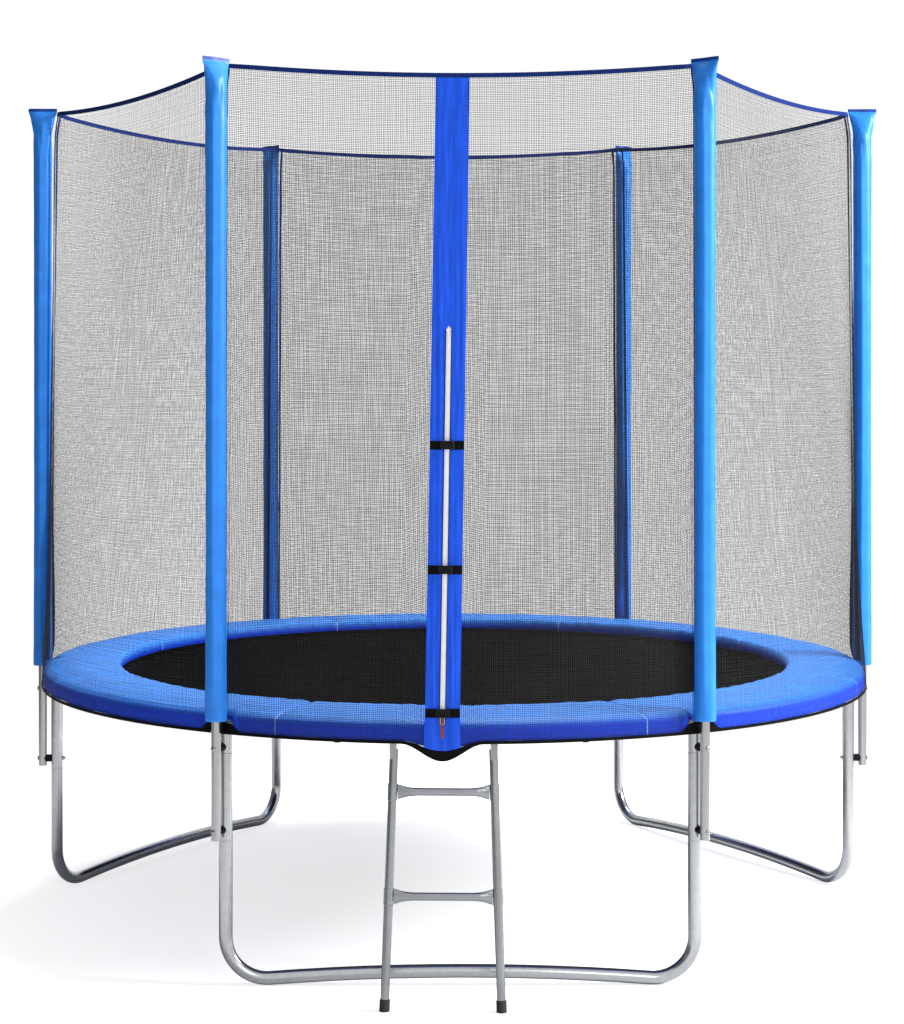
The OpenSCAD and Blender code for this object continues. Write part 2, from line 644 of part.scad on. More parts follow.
module safety_net() {
  color([0.8, 0.8, 0.8]) on_ring() {
    door_side(-1);
    door_side(1);
    for (i = [2:posts]) net_part(i, full,
      function (s) concat([low_v(i, s)], net_rows, [hem_v(i, s)]), net_t,
      function (c, r) open_row(r) && within((full[c] + full[c + 1]) / 2, across));
  }
}

at_door_top = columns(0, 1, concat([for (u = concat(door_cuts(-1), [0.5])) beside(-1, u, 2)],
  [for (u = concat([0.5], reversed(door_cuts(1)))) beside(1, u, 2)]));

// The tape round the net's top, from pole to pole
module net_top_hem() {
  color("midnightblue") on_ring() for (i = [1:posts])
    net_part(i, i == 1 ? at_door_top : full,
      function (s) [v_at(i, s, high_z(s, hem_z) - top_hem_h), 2], hem_t);
}

// The black tape round the net's lower edge, drawn down at the door
module net_bottom_hem() {
  color("black") on_ring() for (i = [1:posts])
    net_part(i, i == 1 ? columns(0, 1, concat([0.2], at_door, [0.7, 0.85])) : full,
      function (s) [-1, v_at(i, s, hem_z0(i, s))], hem_t);
}

// ---- door ----

// A strip of the door panel between the lines x0 and x1 beside the band's middle
module door_strip(x0, x1, rows, off0, off1)
  sheet([for (x = [x0, x1]) [for (v = rows) net_point(1, band_s(x, v), v, off1)]],
    [for (x = [x0, x1]) [for (v = rows) net_point(1, band_s(x, v), v, off0)]]);

band_mid = band_s(0, 0.5);
function door_v(z) = v_at(1, band_s(0, 0.3), z);
zip_low_z = slider_z - 9;
band_top_v = hem_v(1, band_s(0, 1));
zip_v = [door_v(zip_low_z), door_v(zip_top_z)];

// Two strips with the zip's slot between them, meeting above and below it
module door_band() {
  slot = zip_w / 2 + seat;
  rows = concat([zip_v[0] - 0.0005, zip_v[0]], [for (f = [0.25:0.25:0.75])
    mix(zip_v[0], zip_v[1], f)], [zip_v[1], zip_v[1] + 0.0005, 0.8, 1, band_top_v]);
  function inner(v) = v >= zip_v[0] && v <= zip_v[1] ? slot : seat / 2;
  function at(m, outer, v, off) = let(x = m * (outer ? band_w / 2 : inner(v)))
    net_point(1, band_s(x, v), v, off);
  function column(m, outer, off) = [for (v = concat(
    [low_v(1, band_s(outer ? m * band_w / 2 : 0, -1))], rows)) at(m, outer, v, off)];
  module half(m) sheet([for (outer = [m < 0, m > 0]) column(m, outer, band_t / 2)],
    [for (outer = [m < 0, m > 0]) column(m, outer, -band_t / 2)]);
  color("royalblue") on_ring() {
    half(-1);
    half(1);
  }
}

zip_split = 1.6; // width of the parting line between the zip's two rows of teeth
teeth_w = 2.6;
teeth_t = 2.6;

// Two white tapes, each with its row of teeth beside the parting line
module zip_tapes() {
  rows = [for (f = [0:0.25:1]) mix(zip_v[0] + 0.0004, zip_v[1] - 0.0004, f)];
  color("white") on_ring() for (m = [-1, 1]) {
    x = [zip_split / 2, zip_split / 2 + teeth_w, zip_w / 2];
    a = m > 0 ? x[0] : -x[1];
    b = m > 0 ? x[1] : -x[0];
    c = m > 0 ? x[1] : -x[2];
    d = m > 0 ? x[2] : -x[1];
    door_strip(a, b, rows, -teeth_t / 2, teeth_t / 2);
    door_strip(c, d, rows, -0.5, 0.5);
  }
}

// The zip's line: a point of it and its direction, which the slider and its pull follow
slider_v = door_v(slider_z);
slider_s = band_s(0, slider_v);
slider_p = net_point(1, slider_s, slider_v, 0);
zip_end = net_point(1, band_s(0, zip_v[1]), zip_v[1], 0);
zip_dir = (zip_end - slider_p) / norm(zip_end - slider_p);
zip_turn = atan2(net_normal(1, slider_s, slider_v)[1], net_normal(1, slider_s, slider_v)[0]) + 90;
zip_lean = -acos(zip_dir[2]);

// Its children stand at height z on the zip's line: +Z up the zip, -Y outwards
module on_zip(z) on_ring() translate(slider_p + zip_dir * (z - slider_z) / zip_dir[2])
  rotate([0, 0, zip_turn]) rotate([zip_lean, 0, 0]) children();

plate_gap = teeth_t / 2 + 0.5; // from the zip's middle to a slider plate
plate_t = 1.4;
lug_y = plate_gap + plate_t + 1.6;
slider_w = 9;

// Front and back plates joined by a thin neck through the parting line, and a lug for the pull
module zip_slider() {
  module plate(y) translate([0, y, 0]) rotate([90, 0, 0]) linear_extrude(plate_t, center = true)
    polygon([[-slider_w / 2, 7], [slider_w / 2, 7], [slider_w / 2, 0], [slider_w * 0.3, -7],
      [-slider_w * 0.3, -7], [-slider_w / 2, 0]]);
  color("firebrick") on_zip(slider_z) {
    plate(-plate_gap - plate_t / 2);
    plate(plate_gap + plate_t / 2);
    translate([-0.3, -plate_gap - 0.3, 1]) cube([0.6, 2 * plate_gap + 0.6, 5]);
    difference() {
      translate([-1.5, -lug_y - 1.8, -4]) cube([3, lug_y + 1.8 - plate_gap - 0.2, 8]);
      translate([-3, -lug_y, 0]) rotate([0, 90, 0]) cylinder(d = 2.2, h = 6, $fn = 24);
    }
  }
}

// The pull hangs from the slider's lug
module zip_pull() {
  pull_l = 42;
  color("firebrick") on_zip(slider_z) translate([0, -lug_y, 0]) {
    translate([-4.2, 0, 0]) rotate([0, 90, 0]) cylinder(d = 1.6, h = 8.4, $fn = 24);
    for (m = [-1, 1]) translate([m * 3.5 - 0.7, -0.7, -12]) cube([1.4, 1.4, 12]);
    translate([0, 0.7, 0]) rotate([90, 0, 0]) linear_extrude(1.4) difference() {
      polygon([[-4.2, -8], [-5, -16], [-4, -pull_l], [4, -pull_l], [5, -16], [4.2, -8]]);
      translate([0, -16]) circle(2.2, $fn = 24);
    }
  }
}

// Closing straps across the door. Each buckle bridges the zip, clear of the slider and its pull
strap_zs = [strap_low_z, strap_mid_z, strap_high_z];
strap_y = band_t / 2 + 0.8; // underside of the webbing over the zip's middle
strap_t = 1.5;
buckle_y = strap_y + strap_t + 0.5; // underside of a buckle's ends
bridge_y = 8.2; // underside of its middle
buckle_top = 12;
buckle_h = 21;
clip_x = 7; // where clip and socket meet, left of the zip
prong_l = 14;
buckle_half = 19;

module door_straps() {
  color("black") for (z = strap_zs) on_zip(z) for (m = [-1, 1])
    translate([m > 0 ? clip_x + 5 : -band_w / 2, -strap_y - strap_t, -strap_h / 2])
      cube([band_w / 2 - clip_x - 5, strap_t, strap_h]);
}

// Outline of a buckle half, seen from above, with the raised bridge at its inner end
function buckle_side(x_in, x_out) = [[x_in, bridge_y], [x_out * 0.42 + x_in * 0.58, bridge_y],
  [x_out * 0.55 + x_in * 0.45, buckle_y], [x_out, buckle_y], [x_out, buckle_top - 2.5],
  [x_out * 0.9 + x_in * 0.1, buckle_top], [x_in, buckle_top]];

// The socket is open towards the clip
module buckle_sockets() {
  color("black") for (z = strap_zs) on_zip(z) difference() {
    translate([0, 0, -buckle_h / 2]) linear_extrude(buckle_h) mirror([0, 1])
      polygon(buckle_side(-clip_x + seat, buckle_half));
    translate([-clip_x - 1, -buckle_top + 0.9, -buckle_h / 2 + 1.6])
      cube([prong_l + 2.6, buckle_top - bridge_y - 1.8, buckle_h - 3.2]);
  }
}

// A clip with two springy prongs and a middle tongue, held in its socket
module buckle_clip(n) {
  prong_y = (bridge_y + buckle_top) / 2;
  color([0.15, 0.15, 0.15]) on_zip(strap_zs[n - 1]) {
    translate([0, 0, -buckle_h / 2 + 1]) linear_extrude(buckle_h - 2) mirror([0, 1])
      polygon(buckle_side(-clip_x, -buckle_half));
    for (m = [-1, 0, 1]) translate([-clip_x - 1, -prong_y - 0.7, m * (buckle_h / 2 - 3.6) - 1.2])
      cube([prong_l + 1 - (m == 0 ? 4 : 0), 1.4, 2.4]);
  }
}

// ---- ladder ----

module on_ladder() on_ring() rotate([0, 0, ladder_turn]) children();
function ladder_foot(m) = [m * ladder_foot_w / 2, -ladder_foot_r, 0];
function ladder_top(m) = [m * ladder_top_w / 2, -ladder_top_y, ladder_top_z];
function ladder_at(m, z) = mix(ladder_foot(m), ladder_top(m), z / ladder_top_z);
collar_l = 40;
function rail_l(z) = z / ladder_top_z * ladder_l; // distance along a rail at height z

// One side: three tubes, each but the top one with a widened socket for the next
module ladder_rail(m) {
  r = ladder_d / 2;
  in_r = r - ladder_wall;
  collar_in = r + 0.2;
  ends = [4.5, rail_l(rung_low_z) - collar_l / 2 + 4, rail_l(rung_high_z) - collar_l / 2 + 4];
  module section(l0, l1) rotate_extrude($fn = 48) polygon([[in_r, l0], [r, l0], [r, l1 - 2],
    [collar_r, l1], [collar_r, l1 + collar_l], [collar_in, l1 + collar_l], [collar_in, l1 + 1.5],
    [in_r, l1 - 1]]);
  color("silver") on_ladder() {
    along(ladder_foot(m), ladder_top(m)) {
      section(ends[0], rail_l(rung_low_z) - collar_l / 2);
      section(ends[1], rail_l(rung_high_z) - collar_l / 2);
    }
    difference() {
      union() {
        along(ladder_foot(m), ladder_top(m)) translate([0, 0, ends[2]])
          cylinder(r = r, h = ladder_l - ends[2], $fn = 48);
        rotate([0, 0, m * ladder_hook_a]) translate([0, -ring_r, rail_z - hook_in + tube_r + 0.6]) {
          rotate([0, 90, 0]) rotate_extrude(angle = 140, start = 130, $fn = 96)
            translate([hook_in, -hook_w / 2]) square([hook_t, hook_w]);
          translate([-hook_w / 2, -hook_in - hook_t, -tube_r - 34]) cube([hook_w, hook_t, tube_r + 34]);
        }
      }
      along(ladder_foot(m), ladder_top(m)) translate([0, 0, ends[2] - 1])
        cylinder(r = in_r, h = ladder_l, $fn = 48);
    }
  }
}

// Rungs with ends pressed flat and tall where they are welded to the sockets
module ladder_rungs() {
  r = rung_d / 2;
  shape = [[0, 19, 4.5], [6, 18, 5.5], [16, 14.5, 7.5], [30, 11.5, 9.5], [48, r, r]];
  function ring(p, h, d) = [for (k = [0:19]) p + [0, d * cos(k * 18), h * sin(k * 18)]];
  color("darkgray") on_ladder() for (z = [rung_low_z, rung_high_z]) {
    half = ladder_at(1, z)[0] - collar_r - seat;
    y = ladder_at(1, z)[1];
    skin(concat([for (q = shape) ring([-half + q[0], y, z], q[1], q[2])],
      [for (k = [len(shape) - 1:-1:0]) let(q = shape[k]) ring([half - q[0], y, z], q[1], q[2])]));
  }
}

// Rubber feet, cut flat where they stand on the floor
module ladder_feet() {
  color([0.12, 0.12, 0.12]) on_ladder() for (m = [-1, 1]) difference() {
    along(ladder_foot(m), ladder_top(m)) rotate(90) difference() {
      translate([0, 0, -cap_d / 4]) cylinder(d = cap_d, h = 28 + cap_d / 4, $fn = 48);
      translate([0, 0, 4.2]) cylinder(d = ladder_d + 0.2, h = 40, $fn = 48);
    }
    translate(ladder_foot(m) - [cap_d, cap_d, cap_d]) cube([cap_d * 2, cap_d * 2, cap_d]);
  }
}

frame_rail(1);  // frame_rail_1
frame_rail(2);  // frame_rail_2
frame_rail(3);  // frame_rail_3
frame_rail(4);  // frame_rail_4
frame_rail(5);  // frame_rail_5
frame_rail(6);  // frame_rail_6
leg_upright(1);  // leg_upright_1
leg_upright(2);  // leg_upright_2
leg_upright(3);  // leg_upright_3
leg_upright(4);  // leg_upright_4
leg_upright(5);  // leg_upright_5
leg_upright(6);  // leg_upright_6
base_leg(-90);  // base_leg_front
base_leg(30);  // base_leg_right
base_leg(150);  // base_leg_left
pole_lower(1);  // pole_lower_1
pole_lower(2);  // pole_lower_2
pole_lower(3);  // pole_lower_3
pole_lower(4);  // pole_lower_4
pole_lower(5);  // pole_lower_5
pole_lower(6);  // pole_lower_6
pole_upper(1);  // pole_upper_1
pole_upper(2);  // pole_upper_2
pole_upper(3);  // pole_upper_3
pole_upper(4);  // pole_upper_4
pole_upper(5);  // pole_upper_5
pole_upper(6);  // pole_upper_6
pole_sleeve(1);  // pole_sleeve_1
pole_sleeve(2);  // pole_sleeve_2
pole_sleeve(3);  // pole_sleeve_3
pole_sleeve(4);  // pole_sleeve_4
pole_sleeve(5);  // pole_sleeve_5
pole_sleeve(6);  // pole_sleeve_6
pole_foams();
pole_caps();
pole_spacers();
pole_bolts();
pole_nuts();
jump_mat();
mat_rings();
springs();
edge_pad();
pad_ties();
safety_net();
net_top_hem();
net_bottom_hem();
door_band();
zip_tapes();
zip_slider();
zip_pull();
door_straps();
buckle_sockets();
buckle_clip(1);  // buckle_clip_1
buckle_clip(2);  // buckle_clip_2
buckle_clip(3);  // buckle_clip_3
ladder_rail(-1);  // ladder_rail_left
ladder_rail(1);  // ladder_rail_right
ladder_rungs();
ladder_feet();
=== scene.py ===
"""Dresses a garden trampoline's frame with its cloth, net, pad, springs and finishes.

It is laid out as an add-on, and each piece or group of like pieces has its own operator.
"""

import math

import bpy
import numpy as np
from bpy.props import FloatProperty, FloatVectorProperty, IntProperty, PointerProperty
from mathutils import Matrix, Vector


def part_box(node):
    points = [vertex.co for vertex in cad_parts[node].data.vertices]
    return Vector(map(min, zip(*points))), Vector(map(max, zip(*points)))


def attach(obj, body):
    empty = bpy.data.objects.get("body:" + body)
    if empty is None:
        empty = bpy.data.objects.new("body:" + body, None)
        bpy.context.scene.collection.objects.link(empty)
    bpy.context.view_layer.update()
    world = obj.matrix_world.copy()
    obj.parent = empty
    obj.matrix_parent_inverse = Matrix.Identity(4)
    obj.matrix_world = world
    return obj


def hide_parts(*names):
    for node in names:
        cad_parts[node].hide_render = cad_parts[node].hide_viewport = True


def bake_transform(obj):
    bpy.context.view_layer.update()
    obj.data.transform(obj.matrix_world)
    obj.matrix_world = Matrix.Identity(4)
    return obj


bl_info = {
    "name": "Garden trampoline",
    "version": (1, 0, 0),
    "blender": (4, 5, 0),
    "location": "3D View > Sidebar > Trampoline",
    "description": "Dresses a trampoline's frame with its cloth, net, pad and springs",
    "category": "Object",
}

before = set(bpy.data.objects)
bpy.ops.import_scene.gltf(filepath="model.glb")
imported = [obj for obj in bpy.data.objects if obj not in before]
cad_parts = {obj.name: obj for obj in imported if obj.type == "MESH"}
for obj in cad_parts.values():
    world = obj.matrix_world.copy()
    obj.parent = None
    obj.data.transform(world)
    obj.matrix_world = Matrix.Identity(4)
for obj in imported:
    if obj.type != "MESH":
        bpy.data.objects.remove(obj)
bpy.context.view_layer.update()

MM = 0.001
POSTS = 6
STEP = math.pi / 3
TURN = 2 * math.pi

# Driving places in metres. The ring's middle is at (0, RING_Y)
RING_Y = (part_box("jump_mat")[0].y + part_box("jump_mat")[1].y) / 2
RING_R = 1.2025
RAIL_Z = 0.66
POLE_R = 1.2455
SLEEVE_R = 28 * MM
SLEEVE_LOW = 0.683
SLEEVE_TOP = 2.372
NET_R = 1.231
WRAP_R = 30.15 * MM
CORNER_R = POLE_R - WRAP_R
TUCK_Z = 0.681
HEM_Z = 2.362
FLARE_Z = 2.322
FLARE_IN = 15.35 * MM
NET_LOW = 0.648
THREAD_THICK = 0.22 * MM
# The front panel's threads are drawn the heaviest, and those of the side panels the lightest
THREAD_SHARES, THREAD_SHARE = {1: 1.0, 4: 0.82}, 0.58
ZIP_POINT = Vector((-0.048546, -1.2274 + RING_Y, 0.705))
ZIP_WAY = Vector((0.0182032, 0.109026, 0.993872))
ZIP_LOW, ZIP_TOP = 0.696, 1.677
STRAP_Z = (0.724, 1.076, 1.386)
PAD_LOW = 0.684
PAD_MID = 1.1
SKIRT_Z = 0.6545

# The view in pixels: its focal length, its height, its middle, and where the camera's axis meets it
FOCAL_PX, VIEW_PX, PICTURE_PX, MIDDLE_PX = 2187.76, 1024, (452, 512), (421.49, 375.58)
SENSOR = 36


# ---------------------------------------------------------------- properties


def length(name, description, default):
    return FloatProperty(name=name, description=description, default=default, unit="LENGTH")


def linear(hex_colour):
    """sRGB hex text to the linear colour that a shader takes."""
    values = [int(hex_colour[k : k + 2], 16) / 255 for k in (1, 3, 5)]
    return (*[v / 12.92 if v <= 0.04045 else ((v + 0.055) / 1.055) ** 2.4 for v in values], 1.0)


def colour_prop(name, description, hex_colour):
    return FloatVectorProperty(
        name=name, description=description, subtype="COLOR", size=4, min=0, max=1, default=linear(hex_colour)
    )


class NetSizes(bpy.types.PropertyGroup):
    pitch: length("Mesh width", "Distance between two threads", 4.7 * MM)
    thread: length("Thread", "Width of a thread", 0.95 * MM)
    sag: length("Sag", "Drop of the top tape between two poles", 26 * MM)
    ripple: length("Ripple", "Depth of the net's loose waves", 3.5 * MM)
    tape: length("Top tape", "Height of the tape round the top", 12 * MM)


class DoorSizes(bpy.types.PropertyGroup):
    top_x: length("Top", "Place of the band's middle at the top", -20 * MM)
    low_x: length("Bottom", "Place of the band's middle at the bottom", -49 * MM)
    width: length("Width", "Width of the band", 87 * MM)
    zip_width: length("Zip", "Width of the zip with both tapes", 15 * MM)
    tooth: length("Tooth spacing", "Distance between two teeth of the zip", 3 * MM)
    dip: length("Dip", "Drop of the net's lower edge at the door", 43 * MM)
    dip_half: length("Dip's half width", "Half the width of that drop", 105 * MM)
    strap: length("Strap", "Width of the closing straps' webbing", 22 * MM)


class PadSizes(bpy.types.PropertyGroup):
    inner: length("Inner radius", "Radius of the pad's inner edge", 1.0)
    outer: length("Outer radius", "Radius of the pad's skirt", 1.2273)
    thickness: length("Thickness", "Thickness of the foam", 28 * MM)
    seams: IntProperty(name="Seams", description="Number of seams across the pad", default=8, min=2)
    seam_depth: length("Seam depth", "How deep a seam draws the foam in", 6 * MM)


class MatSizes(bpy.types.PropertyGroup):
    radius: length("Radius", "Radius of the mat", 1.02)
    hem: length("Hem", "Width of the doubled edge", 40 * MM)
    springs: IntProperty(name="Springs", description="Number of springs", default=48, min=12)
    wire: length("Wire", "Thickness of a spring's wire", 3 * MM)
    coil: length("Coil", "Outer width of a spring's coil", 22 * MM)


class Colours(bpy.types.PropertyGroup):
    sleeve: colour_prop("Sleeves", "Coated cloth round the poles", "#2c88ee")
    pad: colour_prop("Pad", "Woven cover of the edge pad", "#3c8cf0")
    # The skirt's deeper blue is painted shade of the pad's sides
    skirt: colour_prop("Pad's skirt", "Cloth of the pad's outer side", "#1450ff")
    band: colour_prop("Door band", "Cloth beside the zip", "#1656e6")
    ladder: colour_prop("Ladder", "Powder coat of the ladder", "#96999c")


class Trampoline(bpy.types.PropertyGroup):
    net: PointerProperty(name="Net", description="Sizes of the safety net", type=NetSizes)
    door: PointerProperty(name="Door", description="Sizes of the door", type=DoorSizes)
    pad: PointerProperty(name="Pad", description="Sizes of the edge pad", type=PadSizes)
    mat: PointerProperty(name="Mat", description="Sizes of the mat and its springs", type=MatSizes)
    colours: PointerProperty(name="Colours", description="Colours of the cloth", type=Colours)


def props():
    return bpy.context.scene.trampoline


# ---------------------------------------------------------------- nodes


def add(tree, kind, settings=None, **inputs):
    """Adds a node. An input that is another node's socket is linked, and any other is set."""
    node = tree.nodes.new(kind)
    for name, value in (settings or {}).items():
        setattr(node, name, value)
    for name, value in inputs.items():
        key = int(name[1:]) if name[0] == "_" else name.replace("_", " ")
        if isinstance(value, bpy.types.NodeSocket):
            tree.links.new(value, node.inputs[key])
        else:
            node.inputs[key].default_value = value
    return node


def blank(name):
    """A new material and its empty tree, or None in the tree's place if it is already made."""
    material = bpy.data.materials.get(name)
    if material:
        return material, None
    material = bpy.data.materials.new(name)
    material.use_nodes = True
    material.node_tree.nodes.clear()
    return material, material.node_tree


def close(tree, shader):
    add(tree, "ShaderNodeOutputMaterial", Surface=shader.outputs[0])


def principled(tree, **inputs):
    close(tree, add(tree, "ShaderNodeBsdfPrincipled", **inputs))


def place(tree, kind="Object"):
    return add(tree, "ShaderNodeTexCoord").outputs[kind]


def noise(tree, where, size, detail=2.0, rough=0.5):
    """Noise whose blotches are about this many metres across."""
    return add(
        tree, "ShaderNodeTexNoise", Vector=where, Scale=1 / size, Detail=detail, Roughness=rough
    ).outputs["Fac"]


def calc(tree, operation, a, b=0.0):
    return add(tree, "ShaderNodeMath", {"operation": operation}, _0=a, _1=b).outputs[0]


def mix(tree, share, low, high, blend="MIX"):
    settings = {"data_type": "RGBA", "blend_type": blend}
    return add(tree, "ShaderNodeMix", settings, _0=share, _6=low, _7=high).outputs[2]


def apart(tree, where, axis):
    return add(tree, "ShaderNodeSeparateXYZ", Vector=where).outputs[axis]


def ramp(tree, fac, *stops):
    """A colour ramp between (place, colour) stops."""
    node = add(tree, "ShaderNodeValToRGB", Fac=fac)
    points = node.color_ramp.elements
    while len(points) < len(stops):
        points.new(0.5)
    for point, (at, colour) in zip(points, stops):
        point.position = at
        point.color = linear(colour) if isinstance(colour, str) else colour
    return node.outputs["Color"]


def spread(tree, fac, low, high):
    """The values 0.3 to 0.7 of a noise spread over low to high."""
    return add(
        tree, "ShaderNodeMapRange", Value=fac, From_Min=0.3, From_Max=0.7, To_Min=low, To_Max=high
    ).outputs["Result"]


def weave(tree, where, pitch):
    """Threads crossing at this pitch in metres: 0 in the gaps, 1 on the crests."""
    turns = [calc(tree, "MULTIPLY", apart(tree, where, axis), math.pi / pitch) for axis in "XY"]
    return calc(tree, "MULTIPLY", *[calc(tree, "ABSOLUTE", calc(tree, "SINE", turn)) for turn in turns])


def bump(tree, height, strength, depth):
    return add(
        tree, "ShaderNodeBump", Height=height, Strength=strength, Distance=depth
    ).outputs["Normal"]


def shade(colour, factor):
    return (*[min(1.0, c * factor) for c in colour[:3]], 1.0)


# ---------------------------------------------------------------- finishes


def one_grain(name, grain, low, high, rough, relief=None, along=None, start=0.3, **inputs):
    """A material in two tones of one noise, grain = (size, detail). The noise also drives the roughness
    where that is a pair, and the relief = (strength, depth)."""
    material, tree = blank(name)
    if tree:
        where = place(tree)
        if along:
            where = add(tree, "ShaderNodeMapping", Vector=where, Scale=along).outputs[0]
        fac = noise(tree, where, *grain)
        if relief:
            inputs["Normal"] = bump(tree, fac, *relief)
        principled(
            tree, Base_Color=ramp(tree, fac, (start, low), (0.7, high)),
            Roughness=spread(tree, fac, *rough) if isinstance(rough, tuple) else rough, **inputs,
        )
    return material


def galvanised_steel():
    """Hot-dip galvanised tube: bright grey zinc with soft cloudy spangle and a satin gloss."""
    material, tree = blank("galvanised_steel_tube")
    if tree:
        where = place(tree)
        principled(
            tree, Base_Color=ramp(tree, noise(tree, where, 16 * MM), (0.3, "#b2b4b6"), (0.7, "#babcbe")),
            Metallic=0.9, Roughness=spread(tree, noise(tree, where, 60 * MM), 0.17, 0.22),
            Normal=bump(tree, noise(tree, where, 2.5 * MM), 0.02, 0.2 * MM),
        )
    return material


def pole_steel():
    """Pre-galvanised thin-walled tube: smoother and a little darker, drawn along its length."""
    return one_grain(
        "drawn_galvanised_pole", (1.6 * MM, 3), "#a9aaac", "#b3b4b6", (0.18, 0.26), (0.04, 0.2 * MM),
        along=(1, 1, 0.04), Metallic=0.92,
    )


def zinc_plate():
    """Bright zinc-plated wire and fasteners: silvery with a faint warm tint in places."""
    return one_grain("bright_zinc_plate", (6 * MM, 2), "#9a9c9f", "#b6b6b3", (0.2, 0.32), Metallic=1.0)


def ladder_coat():
    """Grey powder coat over steel: fine orange peel, soft broad highlight."""
    material, tree = blank("grey_powder_coat")
    if tree:
        where = place(tree)
        peel = noise(tree, where, 2.2 * MM)
        tone = props().colours.ladder
        stops = (0.3, shade(tone, 0.9)), (0.7, shade(tone, 1.08))
        principled(
            tree, Base_Color=ramp(tree, noise(tree, where, 60 * MM), *stops), Metallic=0.85,
            Roughness=spread(tree, peel, 0.2, 0.28), Normal=bump(tree, peel, 0.1, 0.15 * MM),
        )
    return material


def moulded_plastic(name, tone, gloss):
    """Injection-moulded polypropylene: near black, with a fine eroded grain that softens the shine."""
    return one_grain(
        name, (0.6 * MM, 2), shade(linear(tone), 0.85), shade(linear(tone), 1.2),
        (gloss - 0.05, gloss + 0.06), (0.2, 0.1 * MM), Specular_IOR_Level=0.12,
    )


def red_lacquer():
    """Die-cast zip puller in clear-coated dark red: deep colour under a hard gloss."""
    return one_grain(
        "red_lacquered_casting", (4 * MM, 3), "#64101f", "#8c1c30", (0.3, 0.45), start=0.25,
        Metallic=0.25, Coat_Weight=0.6, Coat_Roughness=0.1,
    )


def net_thread():
    """Knitted polyethylene net thread: grey monofilament, a little lighter where it is stretched."""
    return one_grain("knitted_pe_thread", (0.25, 2), "#20201f", "#2c2b2a", 0.6, Specular_IOR_Level=0.2)


def zip_cloth():
    """White nylon coil zip: bright matt tape under shiny moulded teeth."""
    return one_grain("nylon_coil_zip", (1.5 * MM, 2), "#f0f1f4", "#fcfcfd", 0.4, (0.2, 0.2 * MM))


def foam():
    """Extruded PE foam tube: white, matt, with tiny closed cells."""
    return one_grain(
        "pe_foam", (1.5 * MM, 3), "#d8d9da", "#f0f0f0", 0.8, (0.5, 0.5 * MM), Subsurface_Weight=0.1
    )


def rubber():
    """Moulded rubber feet: matt black with a dusty bloom."""
    return one_grain("moulded_rubber", (8 * MM, 3), "#161617", "#26262a", (0.6, 0.8), (0.2, 0.3 * MM))


def coated_cloth():
    """PVC-coated polyester round the poles: glossy azure skin over a faintly showing scrim."""
    material, tree = blank("pvc_coated_polyester")
    if tree:
        where = place(tree)
        tone = props().colours.sleeve
        cloud = noise(tree, where, 45 * MM, 3)
        colour = ramp(tree, cloud, (0.3, shade(tone, 0.9)), (0.55, tone), (0.75, shade(tone, 1.12)))
        # The stitched rim at the top is bound in navy tape
        rim = calc(tree, "GREATER_THAN", apart(tree, where, "Z"), SLEEVE_TOP - 9 * MM)
        scrim = calc(tree, "MULTIPLY", weave(tree, place(tree, "UV"), 1.6 * MM), 0.25)
        principled(
            tree, Base_Color=mix(tree, rim, colour, linear("#0a3c96")), Specular_IOR_Level=0.28,
            Roughness=spread(tree, cloud, 0.32, 0.42),
            Normal=bump(tree, calc(tree, "ADD", scrim, noise(tree, where, 9 * MM, 3)), 0.3, 0.5 * MM),
        )
    return material


def pad_cover():
    """Woven PE tarpaulin over the foam: flat shiny tapes, about 2.5 mm wide, over and under."""
    material, tree = blank("woven_pe_tarpaulin")
    if tree:
        where, flat = place(tree), place(tree, "UV")
        tone = props().colours.pad
        tapes = weave(tree, flat, 2.6 * MM)
        cloud = noise(tree, where, 70 * MM, 3)
        # Below the top the cover takes the skirt's deeper blue, on the outer side and on the inner lip alike:
        # painted shade of the sides, which the light from above leaves darker
        upper = add(
            tree, "ShaderNodeMapRange", Value=apart(tree, where, "Z"), From_Min=0.686, From_Max=0.7025
        ).outputs["Result"]
        top = ramp(tree, cloud, (0.3, shade(tone, 0.85)), (0.7, shade(tone, 1.1)))
        cloth = mix(tree, upper, props().colours.skirt[:], top)
        # A pale piping is sewn into each seam across the pad
        turns = props().pad.seams / (TURN * PAD_MID)
        place_in_turn = calc(tree, "FRACT", calc(tree, "MULTIPLY", apart(tree, flat, "X"), turns))
        off = calc(tree, "ABSOLUTE", calc(tree, "SUBTRACT", place_in_turn, 0.5))
        cloth = mix(tree, calc(tree, "LESS_THAN", off, 1.6 * MM * turns), cloth, linear("#8fc0f6"))
        worn = ramp(tree, tapes, (0.0, "#9a9a9a"), (0.6, "#ffffff"))
        rise = calc(tree, "ADD", tapes, calc(tree, "MULTIPLY", noise(tree, where, 12 * MM, 3), 2.0))
        principled(
            tree, Base_Color=mix(tree, 0.35, cloth, worn, "MULTIPLY"), Specular_IOR_Level=0.2,
            Roughness=spread(tree, cloud, 0.45, 0.55), Normal=bump(tree, rise, 0.25, 0.4 * MM),
        )
    return material


def mat_cloth():
    """Woven polypropylene jumping cloth: black, matt, with a faint grid of its flat tapes."""
    material, tree = blank("woven_pp_mat")
    if tree:
        flat = place(tree, "UV")
        # The real tapes are 1.2 mm wide. They are drawn 3 mm wide so that the grid shows
        tapes = weave(tree, flat, 3 * MM)
        dust = noise(tree, flat, 0.12, 4)
        black = ramp(tree, dust, (0.3, "#0a0a0b"), (0.7, "#121214"))
        grid = ramp(tree, tapes, (0.0, "#8c8c8c"), (0.7, "#ffffff"))
        principled(
            tree, Base_Color=mix(tree, 0.6, black, grid, "MULTIPLY"), Specular_IOR_Level=0.0,
            Roughness=spread(tree, dust, 0.75, 0.85), Normal=bump(tree, tapes, 0.35, 0.4 * MM),
        )
    return material


